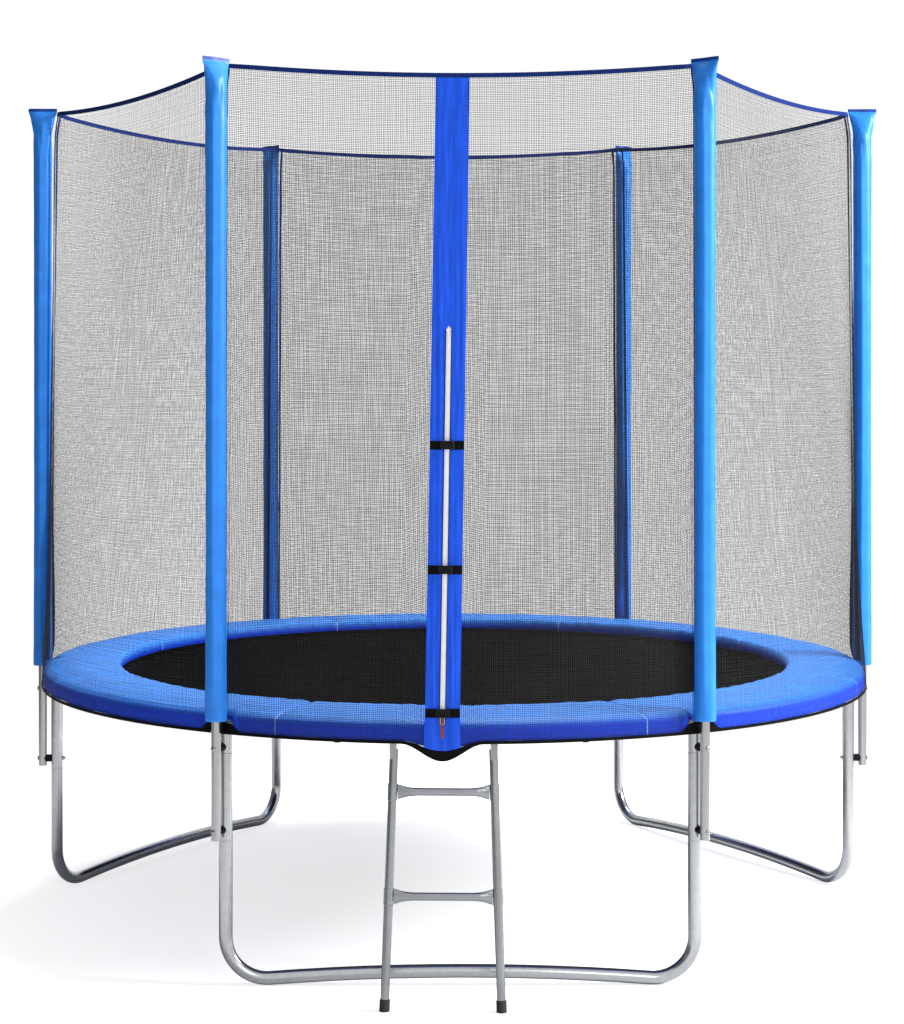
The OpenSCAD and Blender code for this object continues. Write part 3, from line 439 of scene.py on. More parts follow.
def webbing(name, tone, rib):
    """Narrow woven tape: ribs across its width with a soft textile sheen."""
    material, tree = blank(name)
    if tree:
        ribs = weave(tree, place(tree, "UV"), rib)
        tint = linear(tone)
        principled(
            tree, Base_Color=ramp(tree, ribs, (0.0, shade(tint, 0.6)), (0.7, shade(tint, 1.1))),
            Roughness=0.6, Specular_IOR_Level=0.06, Normal=bump(tree, ribs, 0.5, 0.35 * MM),
        )
    return material


def black_webbing():
    return webbing("black_pp_webbing", "#0b0b0d", 1.8 * MM)


def navy_tape():
    return webbing("navy_polyester_tape", "#172f74", 1.5 * MM)


def band_cloth():
    """Dense polyester beside the zip: saturated blue, fine ribs and soft vertical creases, with painted light
    and shade along the creases.
    """
    material, tree = blank("polyester_oxford_band")
    if tree:
        flat = place(tree, "UV")
        tone = props().colours.band
        ribs = calc(tree, "MULTIPLY", weave(tree, flat, 1.4 * MM), 0.2)
        long = add(tree, "ShaderNodeMapping", Vector=flat, Scale=(1, 0.08, 1)).outputs[0]
        crease = noise(tree, long, 9 * MM, 3)
        # The colour follows the creases, darker and lighter along them: painted light and shade
        stops = (0.3, shade(tone, 0.8)), (0.55, tone), (0.75, shade(tone, 1.35))
        principled(
            tree, Base_Color=ramp(tree, crease, *stops), Roughness=0.5, Specular_IOR_Level=0.2,
            Normal=bump(tree, calc(tree, "ADD", ribs, crease), 0.4, 0.8 * MM),
        )
    return material


# ---------------------------------------------------------------- meshes


def new_piece(name, points, faces, material, uv=None, smooth=True):
    """An object from points and faces that point outwards as listed."""
    mesh = bpy.data.meshes.new(name)
    mesh.from_pydata(np.asarray(points, float).tolist(), [], faces)
    if smooth:
        mesh.shade_smooth()
    if uv is not None:
        layer = mesh.uv_layers.new(name="UVMap")
        corner = np.empty(len(mesh.loops), dtype=np.int32)
        mesh.loops.foreach_get("vertex_index", corner)
        layer.data.foreach_set("uv", np.asarray(uv, np.float32)[corner].ravel())
    piece = bpy.data.objects.new(name, mesh)
    bpy.context.scene.collection.objects.link(piece)
    mesh.materials.append(material)
    return piece


def quads(columns, rows, wrap=False, flip=False, start=0):
    """Faces of a grid of points listed column by column, seen from outside."""
    faces = []
    for c in range(columns if wrap else columns - 1):
        a, b = start + c * rows, start + (c + 1) % columns * rows
        for r in range(rows - 1):
            face = (a + r, b + r, b + r + 1, a + r + 1)
            faces.append(face[::-1] if flip else face)
    return faces


def slab(outer, inner):
    """Points and faces of a thin closed sheet between two grids [column, row, xyz]."""
    c, r = outer.shape[:2]
    n = c * r
    points = np.concatenate([outer.reshape(-1, 3), inner.reshape(-1, 3)])
    faces = quads(c, r) + quads(c, r, flip=True, start=n)
    for a in range(0, (c - 1) * r, r):
        b = a + r
        faces.append((a, a + n, b + n, b))
        faces.append((a + r - 1, b + r - 1, b + n + r - 1, a + n + r - 1))
    for a in range(r - 1):
        b = (c - 1) * r + a
        faces.append((a + n, a, a + 1, a + n + 1))
        faces.append((b, b + n, b + n + 1, b + 1))
    return points, faces


class Shell:
    """Gathers the points, faces and UVs of a piece made in several parts."""

    def __init__(self):
        self.points, self.faces, self.uv, self.count = [], [], [], 0

    def add(self, points, faces, uv=None):
        self.points.append(np.asarray(points, float).reshape(-1, 3))
        self.faces += [tuple(v + self.count for v in face) for face in faces]
        self.uv.append(np.zeros((len(self.points[-1]), 2)) if uv is None else np.asarray(uv).reshape(-1, 2))
        self.count += len(self.points[-1])

    def sheet(self, outer, inner, uv):
        points, faces = slab(outer, inner)
        self.add(points, faces, np.concatenate([uv.reshape(-1, 2)] * 2))

    def piece(self, name, material, smooth=True):
        return new_piece(
            name, np.concatenate(self.points), self.faces, material, np.concatenate(self.uv), smooth
        )


def select(piece):
    bpy.ops.object.select_all(action="DESELECT")
    piece.select_set(True)
    bpy.context.view_layer.objects.active = piece


def sharpen(piece, degrees):
    """Smooth faces with crisp edges where they meet at more than this angle."""
    select(piece)
    bpy.ops.object.shade_smooth_by_angle(angle=math.radians(degrees))


def finish_piece(piece, nodes=(), body="frame", crisp=None):
    """Rides the piece on its body and hides the nodes that it stands for."""
    if crisp:
        sharpen(piece, crisp)
    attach(piece, body)
    if nodes:
        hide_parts(*nodes)
    return piece


def folds(x, y, seed, waves=5):
    """Smooth loose folds from -1 to 1, as a fixed sum of sines."""
    total = 0.0
    for k in range(1, waves + 1):
        a = seed * 1.7 + k * 2.4
        total = total + np.sin((x * math.cos(a) + y * math.sin(a)) * (0.7 + 0.45 * k) + a * 3) / k**0.5
    return total / 2.6


def smooth_step(x):
    x = np.clip(x, 0, 1)
    return x * x * (3 - 2 * x)


def even(low, high, count):
    return low + (high - low) * np.linspace(0, 1, count)


def around(count):
    """Directions of this many columns all the way round."""
    return np.linspace(0, TURN, count, endpoint=False)


def points_of(*coordinates):
    return np.stack(np.broadcast_arrays(*coordinates), axis=-1)


def polar(r, a):
    return points_of(r * np.cos(a), r * np.sin(a))


def round_ring(r, a, z):
    """Points at radius r, direction a and height z about the ring's middle."""
    return points_of(r * np.cos(a), r * np.sin(a) + RING_Y, z)


def turned(x, y, z, t, middle=(0, 0)):
    """Points x outwards, y sideways and z up in direction t, from a middle that lies off the ring's."""
    return points_of(
        middle[0] + x * math.cos(t) - y * math.sin(t),
        middle[1] + x * math.sin(t) + y * math.cos(t) + RING_Y, z,
    )


def unit(vectors):
    return vectors / np.linalg.norm(vectors, axis=-1)[..., None]


def along_path(path):
    """Lengths along a path from its start."""
    return np.concatenate([[0], np.cumsum(np.linalg.norm(np.diff(path, axis=0), axis=1))])


def strap(shell, path, half, y, flat_y, t, start=0.0, swap=False):
    """A strap bent along a path of (outwards, up) points: y across it, `half` of its thickness each way."""
    way = unit(np.gradient(path, axis=0))
    normal = points_of(way[:, 1], -way[:, 0]) * half
    lines = [path + side * normal for side in (1, -1)]
    grids = [turned(start + line[:, 0], y[:, None], RAIL_Z + line[:, 1], t) for line in lines]
    uv = points_of(flat_y[:, None], along_path(path))
    shell.sheet(*(grids[::-1] if swap else grids), uv)


def post_angle(i):
    """Direction of post i, from 1 at the front left, anticlockwise."""
    return STEP * (i - 1) - TURN / 3


# The net's surface. Panel i hangs between posts i and i + 1, and s runs along it from 0 to 1


def dip(i, s):
    """How far the lower edge is drawn down at the door, from 0 to 1."""
    door = props().door
    if i != 1:
        return np.zeros_like(s)
    middle = 0.5 + math.asin(door.low_x / NET_R) / STEP
    return (1 + np.cos(math.pi * np.clip(np.abs(s - middle) * STEP * NET_R / door.dip_half, 0, 1))) / 2


def low_z(i, s):
    return NET_LOW - props().door.dip * dip(i, s)


def low_hem_z(i, s):
    """Upper edge of the black tape along the net's lower edge, which widens at the door and the poles."""
    post = smooth_step((62 * MM - np.minimum(s, 1 - s) * STEP * NET_R) / (30 * MM))
    return low_z(i, s) + 7.5 * MM + 18.5 * MM * dip(i, s) + 21 * MM * post


def high_z(s, z):
    return z - props().net.sag * 4 * s * (1 - s)


def net_xy(i, s, z):
    a = post_angle(i) + s * STEP
    near = np.minimum(s, 1 - s) * STEP
    y = POLE_R * np.sin(near)
    tuck = np.where(
        y >= WRAP_R, NET_R,
        np.minimum(NET_R, POLE_R * np.cos(near) - np.sqrt(np.clip(WRAP_R**2 - y**2, 0, None))),
    )
    p0, p1 = polar(CORNER_R, post_angle(i)), polar(CORNER_R, post_angle(i) + STEP)
    chord = p0 + (p1 - p0) * s[..., None]
    top = high_z(s, FLARE_Z)
    v = np.clip((z - TUCK_Z) / (top - TUCK_Z), 0, 1)[..., None]
    w = np.clip((z - top) / (HEM_Z - FLARE_Z), 0, 1)
    move = np.where(w > 0, 0.35 + 0.65 * w, 0.35 * np.clip((v[..., 0] - 0.98) / 0.02, 0, 1))
    u = np.clip((TUCK_Z - z) / (TUCK_Z - low_z(i, s)), 0, 1)
    flare = FLARE_IN * np.clip(1 - np.minimum(s, 1 - s) / 0.06, 0, 1)
    bottom = polar(tuck, a)
    return bottom + (chord - bottom) * v + polar(u * (NET_R - tuck) - move * flare, a)


def net_point(i, s, z, off=0.0):
    """Points of panel i at s and height z, moved `off` outwards from the net's middle."""
    s, z = (np.array(q, float) for q in np.broadcast_arrays(s, z))
    step = net_xy(i, np.minimum(s + 0.0004, 1), z) - net_xy(i, np.maximum(s - 0.0004, 0), z)
    normal = points_of(step[..., 1], -step[..., 0]) / np.linalg.norm(step, axis=-1)[..., None]
    post = np.where((s < 0.001)[..., None], polar(1.0, post_angle(i)), polar(1.0, post_angle(i + 1)))
    normal = np.where(((s < 0.001) | (s > 0.999))[..., None], post, normal)
    xy = net_xy(i, s, z) + normal * np.broadcast_to(off, s.shape)[..., None]
    return np.concatenate([xy + [0, RING_Y], z[..., None]], axis=-1)


def band_s(x, z):
    """Place along the front panel of the line at distance x from the band's middle."""
    door = props().door
    f = np.clip((z - TUCK_Z) / (high_z(np.array(0.5), FLARE_Z) - TUCK_Z), 0, 1)
    bottom = 0.5 + np.arcsin((door.low_x + x) / NET_R) / STEP
    return bottom + (0.5 + (door.top_x + x) / CORNER_R - bottom) * f


def on_band(x, z, off):
    return net_point(1, band_s(x, z), z, off)


def on_zip(z):
    """A frame at height z on the zip: +Z up the zip, -Y outwards."""
    spot = ZIP_POINT + ZIP_WAY * (z - ZIP_POINT.z) / ZIP_WAY.z
    turn = Matrix.Rotation(math.radians(-2.23033), 4, "Z") @ Matrix.Rotation(math.radians(-6.34614), 4, "X")
    return Matrix.Translation(spot) @ turn


def carried(matrix, points):
    """Points in a frame, moved to the object's."""
    m = np.array(matrix)
    return np.asarray(points) @ m[:3, :3].T + m[:3, 3]


# ---------------------------------------------------------------- pieces


def net_cord(shell, path, a, width):
    """A flat cord along a path of points, with `a` the direction outwards at each."""
    out = points_of(np.cos(a), np.sin(a), 0)
    side = unit(np.cross(unit(np.gradient(path, axis=0)), out))
    corners = (1, 1), (1, -1), (-1, -1), (-1, 1)
    ring = [path + p * THREAD_THICK / 2 * out + q * width / 2 * side for p, q in corners]
    n = len(path)
    faces = [(k * 4 + m, k * 4 + (m + 1) % 4, k * 4 + 4 + (m + 1) % 4, k * 4 + 4 + m)
             for k in range(n - 1) for m in range(4)]
    faces += [(3, 2, 1, 0), (n * 4 - 4, n * 4 - 3, n * 4 - 2, n * 4 - 1)]
    shell.add(np.stack(ring, axis=1), faces)


def net_stretch(name, i, s0, s1):
    """The crossing threads of panel i between the lines s0(z) and s1(z), from its lower tape to its hem."""
    net = props().net
    shell = Shell()

    def at(u, f):
        """Points at u along the stretch and f up it, with the net's loose waves, and their directions."""
        u, f = np.broadcast_arrays(np.asarray(u, float), np.asarray(f, float))
        z = NET_LOW + (HEM_Z - NET_LOW) * f
        for _ in range(3):
            s = s0(z) + (s1(z) - s0(z)) * u
            bottom, top = low_hem_z(i, s) - 2 * MM, high_z(s, HEM_Z) - net.tape + 2 * MM
            z = bottom + (top - bottom) * f
        ends = smooth_step(np.minimum(u, 1 - u) / 0.12)
        level = smooth_step((z - 0.74) / 0.3) * smooth_step((HEM_Z - z) / 0.25)
        wave = net.ripple * (folds(s * 11 + z * 2, z * 4, i) - 1.0) * ends * level
        return net_point(i, s, z, wave), post_angle(i) + s * STEP

    width = np.linalg.norm(at(1, 0.5)[0] - at(0, 0.5)[0])
    height = HEM_Z - NET_LOW
    rows, columns = int(height / net.pitch), int(width / net.pitch)
    across, up = np.linspace(0, 1, max(5, int(width / 0.055))), np.linspace(0, 1, 15) ** 1.15
    # Knitted threads never lie quite evenly: each is a little off its place, and wanders along it
    uneven = np.random.default_rng(i).uniform(-1, 1, (2, max(rows, columns) + 1))
    thread = net.thread * THREAD_SHARES.get(i, THREAD_SHARE)
    loose = 0.1 if i in THREAD_SHARES else 0.24
    for lie, count, line, turns in ((0, rows, across, 19), (1, columns, up, 23)):
        for k in range(count + 1):
            drift = loose * uneven[lie, k] + 0.6 * loose * np.sin(line * turns + 7 * uneven[1 - lie, k])
            spot = np.clip((k + drift) / count, 0, 1)
            path, a = at(spot, line) if lie else at(line, spot)
            net_cord(shell, path, a, thread)
    piece = finish_piece(shell.piece(name, net_thread(), smooth=False), ["safety_net"])


def net_strip(shell, i, s, z_rows, thick):
    """A tape on panel i: columns at s, with z_rows(s) its heights from below, this thick."""
    z = np.stack([z_rows(k) for k in s])
    grid = np.broadcast_to(s[:, None], z.shape)
    outer, inner = net_point(i, grid, z, thick / 2), net_point(i, grid, z, -thick / 2)
    shell.sheet(outer, inner, points_of(grid * STEP * NET_R, z))


class TRAMPOLINE_OT_net(bpy.types.Operator):
    """Hangs the net's threads between the poles, in five full panels and the two beside the door"""

    bl_idname = "trampoline.net"
    bl_label = "Safety net"

    def execute(self, context):
        edge = props().door.width / 2 - 2 * MM

        def start(z):
            return 0.002 + 0 * z

        def end(z):
            return 0.998 + 0 * z

        for i in range(2, POSTS + 1):
            net_stretch(f"net_panel_{i}", i, start, end)
        net_stretch("net_panel_1_left", 1, start, lambda z: band_s(-edge, z))
        net_stretch("net_panel_1_right", 1, lambda z: band_s(edge, z), end)
        return {"FINISHED"}


class TRAMPOLINE_OT_tapes(bpy.types.Operator):
    """Sews the navy tape round the net's top, the black tape along its lower edge and the side seams"""

    bl_idname = "trampoline.tapes"
    bl_label = "Net's tapes"

    def execute(self, context):
        tape = props().net.tape
        top, low, sides, pleats = Shell(), Shell(), Shell(), Shell()

        def top_rows(s):
            high = high_z(s, HEM_Z)
            return np.array([high - tape, high - tape / 2, high])

        for i in range(1, POSTS + 1):
            net_strip(top, i, even(0.0006, 0.9994, 61), top_rows, 2.4 * MM)
            net_strip(
                low, i, even(0.0006, 0.9994, 121), lambda s: even(low_z(i, s), low_hem_z(i, s), 4), 2.6 * MM
            )
            for post in (i, i % POSTS + 1):
                # On the two front poles the seams lie behind the sleeves
                s = even(0.004, 0.010, 4) if post in (1, 2) else even(0.0145, 0.0205, 4)
                s = s if post == i else 1 - s[::-1]
                net_strip(sides, i, s, lambda k: even(0.70, high_z(k, HEM_Z) - tape, 60), 1.6 * MM)
            # Beside the side poles the net's lower end is gathered in narrow pleats
            if i in (2, 3, 5, 6):
                z = even(0.70, 1.16, 40)[None, :]
                share = even(0, 1, 26)[:, None]
                grid = 0.0215 + share * 0.034 * smooth_step((1.2 - z) / 0.5)
                fold = 2.2 * MM * np.sin(share * TURN * 4 + 2 * z) * smooth_step((1.14 - z) / 0.3)
                fold = fold - 5 * MM
                if i in (2, 5):
                    grid, fold = 1 - grid[::-1], fold[::-1]
                fold = fold * smooth_step((z - 0.69) / 0.05)
                outer, inner = net_point(i, grid, z, fold + 0.3 * MM), net_point(i, grid, z, fold - 0.3 * MM)
                pleats.sheet(outer, inner, points_of(grid * STEP * NET_R, z))
        for shell, name, nodes, slot, material in (
            (top, "net_top_tape", ["net_top_hem"], "navy_tape", navy_tape()),
            (low, "net_lower_tape", ["net_bottom_hem"], "black_webbing", black_webbing()),
            (sides, "net_side_seams", [], "navy_tape", navy_tape()),
            (pleats, "net_pleats", [], "net", webbing("gathered_net", "#15171f", 3 * MM)),
        ):
            finish_piece(shell.piece(name, material), nodes, crisp=50)
        return {"FINISHED"}


class TRAMPOLINE_OT_sleeves(bpy.types.Operator):
    """Pulls a coated sleeve over each pole: round below, pressed flat and stitched at its top"""

    bl_idname = "trampoline.sleeves"
    bl_label = "Pole sleeves"

    def execute(self, context):
        flat_z = SLEEVE_TOP - 10 * MM
        for i in range(1, POSTS + 1):
            turn = -math.radians(16) * math.sin(2 * post_angle(i)) / math.sin(math.radians(120))
            phi = around(80)
            z = np.concatenate([
                [0.712, 0.698, 0.6845, SLEEVE_LOW], even(0.6845, 0.72, 6),
                even(0.73, 2.26, 96), even(2.266, flat_z, 26), even(flat_z + 1 * MM, SLEEVE_TOP, 5),
            ])
            inside = np.arange(len(z)) < 3
            a = np.interp(z, [2.29, 2.315, 2.3445, flat_z], [SLEEVE_R, 31.9 * MM, 38.1 * MM, 43.5 * MM])
            b = np.interp(z, [2.286, 2.318, 2.3445, flat_z], [SLEEVE_R, 22.6 * MM, 11.6 * MM, 2.4 * MM])
            a, b = (np.convolve(np.pad(q, 1, mode="edge"), [0.25, 0.5, 0.25], "valid") for q in (a, b))
            b = np.where(z >= flat_z, 2.2 * MM, b)
            tight = np.interp(z, [0.72, 0.9, 1.15, 1.75, 2.1, 2.26], [0, 0.9, 1.5, 1.5, 0.6, 0]) * MM
            a, b = a - tight, b - tight
            a, b = (np.where(inside, q - 1.7 * MM, q) for q in (a, b))
            lip = np.where(z == SLEEVE_LOW, -0.8 * MM, 0)
            p, h = np.meshgrid(phi, z, indexing="ij")
            near_top = smooth_step((h - 2.15) / 0.12) * smooth_step((flat_z + 4 * MM - h) / 0.02)
            near_low = smooth_step((0.9 - h) / 0.2)
            wave = 0.5 * folds(p * 2.0, h * 14, i) + 0.35 * folds(np.cos(p) * 5, h * 38, i + 3)
            crease = np.abs(folds(np.cos(p) * 3.2, h * 30 + np.sin(p) * 2.5, i + 9)) - 0.5
            push = (0.55 * wave + 2.6 * near_top * crease + 0.9 * near_low * wave) * MM
            # A pleat runs down the sleeve, gentle on its left flank and steep on its right
            lean = p + post_angle(i) + turn + math.radians(103) + 0.05 * np.sin(h * 5 + i)
            lean = (lean + math.pi) % TURN - math.pi
            pleat = np.where(lean < 0, np.clip(1 + lean / 0.95, 0, 1), np.clip(1 - lean / 0.4, 0, 1) ** 1.3)
            pleat = 3.6 * MM * pleat * smooth_step((flat_z - 0.06 - h) / 0.1)
            push = push + pleat * smooth_step((h - 0.69) / 0.1)
            push = np.where(inside[None, :] | (h >= flat_z), 0, push)
            x = (a[None, :] + lip[None, :]) * np.cos(p)
            y = (b[None, :] + lip[None, :]) * np.sin(p)
            # The pressed rim waves a little, as stitched cloth does
            y = y + np.where(h >= flat_z - 8 * MM, 1.1 * MM * np.sin(x * 90 + i), 0)
            x, y = x + push * np.cos(p), y + push * np.sin(p) * np.clip(b[None, :] / SLEEVE_R, 0.2, 1)
            points = turned(x, y, h, post_angle(i) + turn, polar(POLE_R, post_angle(i)))
            rows = len(z)
            faces = quads(len(phi), rows, wrap=True)
            faces.append(tuple(k * rows + rows - 1 for k in range(len(phi))))
            uv = points_of(lean * SLEEVE_R, h)
            piece = new_piece(f"sleeve_{i}", points.reshape(-1, 3), faces, coated_cloth(), uv.reshape(-1, 2))
            finish_piece(piece, [f"pole_sleeve_{i}"], crisp=60)
        return {"FINISHED"}


class TRAMPOLINE_OT_foams(bpy.types.Operator):
    """Slips the foam tubes over the poles, inside their sleeves"""

    bl_idname = "trampoline.foams"
    bl_label = "Foam tubes"

    def execute(self, context):
        shell = Shell()
        phi = around(40)[:, None]
        profile = np.array([
            (12.9, 690.5), (13.5, 689.2), (24.4, 689), (25.7, 690.3), (25.8, 700), (25.8, 2275),
            (25.0, 2285.6), (14, 2286), (12.9, 2284.5), (12.9, 690.5),
        ]) * MM
        for i in range(1, POSTS + 1):
            x, y = polar(POLE_R, post_angle(i))
            r, z = profile.T
            points = points_of(x + r * np.cos(phi), y + RING_Y + r * np.sin(phi), z)
            shell.add(points, quads(len(phi), len(profile), wrap=True))
        piece = finish_piece(shell.piece("foam_tubes", foam()), ["pole_foams"], crisp=50)
        return {"FINISHED"}


class TRAMPOLINE_OT_mat(bpy.types.Operator):
    """Weaves the jumping mat with its doubled, stitched edge and the webbing loops of its rings"""

    bl_idname = "trampoline.mat"
    bl_label = "Jumping mat"

    def execute(self, context):
        mat = props().mat
        shell = Shell()
        inner = mat.radius - mat.hem
        radii = np.concatenate([
            even(0.02, inner - 0.02, 26), inner - np.array([8, 3, 1]) * MM,
            inner + np.array([0, 2, 5, 7, 9, 20, 30, 33, 35, 38]) * MM,
        ])
        height = np.interp(radii, inner + np.array([-0.001, 0.001]), [1.0 * MM, 2.4 * MM])
        for line in (6 * MM, 34 * MM):
            height = height - 0.7 * MM * np.exp(-(((radii - (inner + line)) / (1.2 * MM)) ** 2))
        rim = [(mat.radius - draw * MM, h * MM) for draw, h in ((0.6, 2.1), (0, 1.2), (0, -1.2), (0.6, -2.1))]
        # The profile runs from the middle of the upper side to the middle of the lower
        upper = points_of(radii, height)
        profile = np.concatenate([upper, rim, points_of(radii[::-1], -height[::-1])])
        a = around(288)[:, None]
        r, h = profile[None, :, 0], profile[None, :, 1]
        sag = 0.9 * MM * folds(r * np.cos(a) * 4, r * np.sin(a) * 4, 2) * np.clip((0.93 - r) / 0.3, 0, 1)
        pull = 1.1 * MM * np.cos(a * mat.springs + math.pi) * np.clip((r - 0.99) / 0.03, 0, 1)
        points = round_ring(r + np.minimum(pull, 0), a, RAIL_Z + h + sag)
        rows = profile.shape[0]
        faces = quads(len(a), rows, wrap=True, flip=True)
        faces.append(tuple(k * rows for k in range(len(a))))
        faces.append(tuple(k * rows + rows - 1 for k in reversed(range(len(a)))))
        shell.add(points, faces, points[..., :2])
        disc = finish_piece(shell.piece("mat_cloth", mat_cloth()), ["jump_mat"], "mat", 60)
        # A dark sheet rises from the mat's edge over the rings, close under the pad's lip: painted shade that
        # stands for the shadow under the lip
        a = even(0, TURN, 241)[:, None]
        edge = MM * np.array([
            (990, 2.9), (999, 3.9), (1008, 4.8), (1022, 4.9), (1030, 7.8), (1038, 11.4), (1046, 12.9),
        ])
        above, below = (round_ring(edge[:, 0], a, RAIL_Z + edge[:, 1] + q * MM) for q in (0.3, -0.3))
        shade_sheet = Shell()
        shade_sheet.sheet(above, below, above[..., :2])
        piece = finish_piece(shade_sheet.piece("mat_edge_shade_sheet", mat_cloth()), body="mat")
        # A strap out over each ring's wire and back below it, sewn down on both sides of the edge
        turn = np.linspace(-2.5, 2.5, 13)
        bend = points_of(1.023 + 3.9 * MM * np.cos(turn), 3.9 * MM * np.sin(turn))
        ends = [(0.985, 3.3 * MM), (1.012, 3.3 * MM)]
        path = np.concatenate([[(x, -z) for x, z in ends], bend, ends[::-1]])
        loops = Shell()
        for k in range(mat.springs):
            t = (k + 0.5) * TURN / mat.springs
            strap(loops, path, 0.55 * MM, even(-11.5 * MM, 11.5 * MM, 3), even(0, 23 * MM, 3), t)
        piece = loops.piece("mat_loops", black_webbing())
        finish_piece(piece, body="mat", crisp=50)
        return {"FINISHED"}


class TRAMPOLINE_OT_springs(bpy.types.Operator):
    """Winds the coil springs, hooked between the mat's rings and the frame ring"""

    bl_idname = "trampoline.springs"
    bl_label = "Springs"

    def execute(self, context):
        mat = props().mat
        hook_in, coil_in, coil_out, hook_out = 1.04207, 1.0548, 1.170, 1.189
        z = RAIL_Z + 3.4 * MM
        radius = (mat.coil - mat.wire) / 2
        turns = int((coil_out - coil_in) / (mat.wire * 1.06))
        t = np.linspace(0, turns, turns * 12 + 1)
        grow = np.minimum(1, np.minimum(t, turns - t) / 1.2)
        wind = points_of(
            coil_in + (coil_out - coil_in) * t / turns, radius * grow * np.cos(t * TURN),
            radius * grow * np.sin(t * TURN),
        )
        hook = [(0, 0, -8), (0, 0, -4), (0.2, 0, -1.6), (1.2, 0, -0.4), (3, 0, 0)]
        first = np.array([(hook_in + x * MM, 0, h * MM) for x, _, h in hook])
        last = np.array([(hook_out - x * MM, 0, h * MM) for x, _, h in reversed(hook)])
        path = np.concatenate([first, wind, last])
        for k in range(mat.springs):
            turn = Matrix.Rotation((k + 0.5) * TURN / mat.springs, 4, "Z")
            turn = Matrix.Translation((0, RING_Y, z)) @ turn
            curve = bpy.data.curves.new(f"spring_{k + 1:02d}", "CURVE")
            curve.dimensions = "3D"
            curve.bevel_depth = mat.wire / 2
            curve.bevel_resolution = 1
            curve.use_fill_caps = True
            line = curve.splines.new("POLY")
            line.points.add(len(path) - 1)
            spots = carried(turn, path)
            line.points.foreach_set("co", np.concatenate([spots, np.ones((len(spots), 1))], axis=1).ravel())
            piece = bpy.data.objects.new(curve.name, curve)
            bpy.context.scene.collection.objects.link(piece)
            select(piece)
            bpy.ops.object.convert(target="MESH")
            piece = bpy.context.view_layer.objects.active
            piece.name = f"spring_{k + 1:02d}"
            piece.data.materials.clear()
            piece.data.materials.append(zinc_plate())
            bpy.ops.object.shade_smooth()
            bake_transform(piece)
        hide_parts("springs")
        return {"FINISHED"}


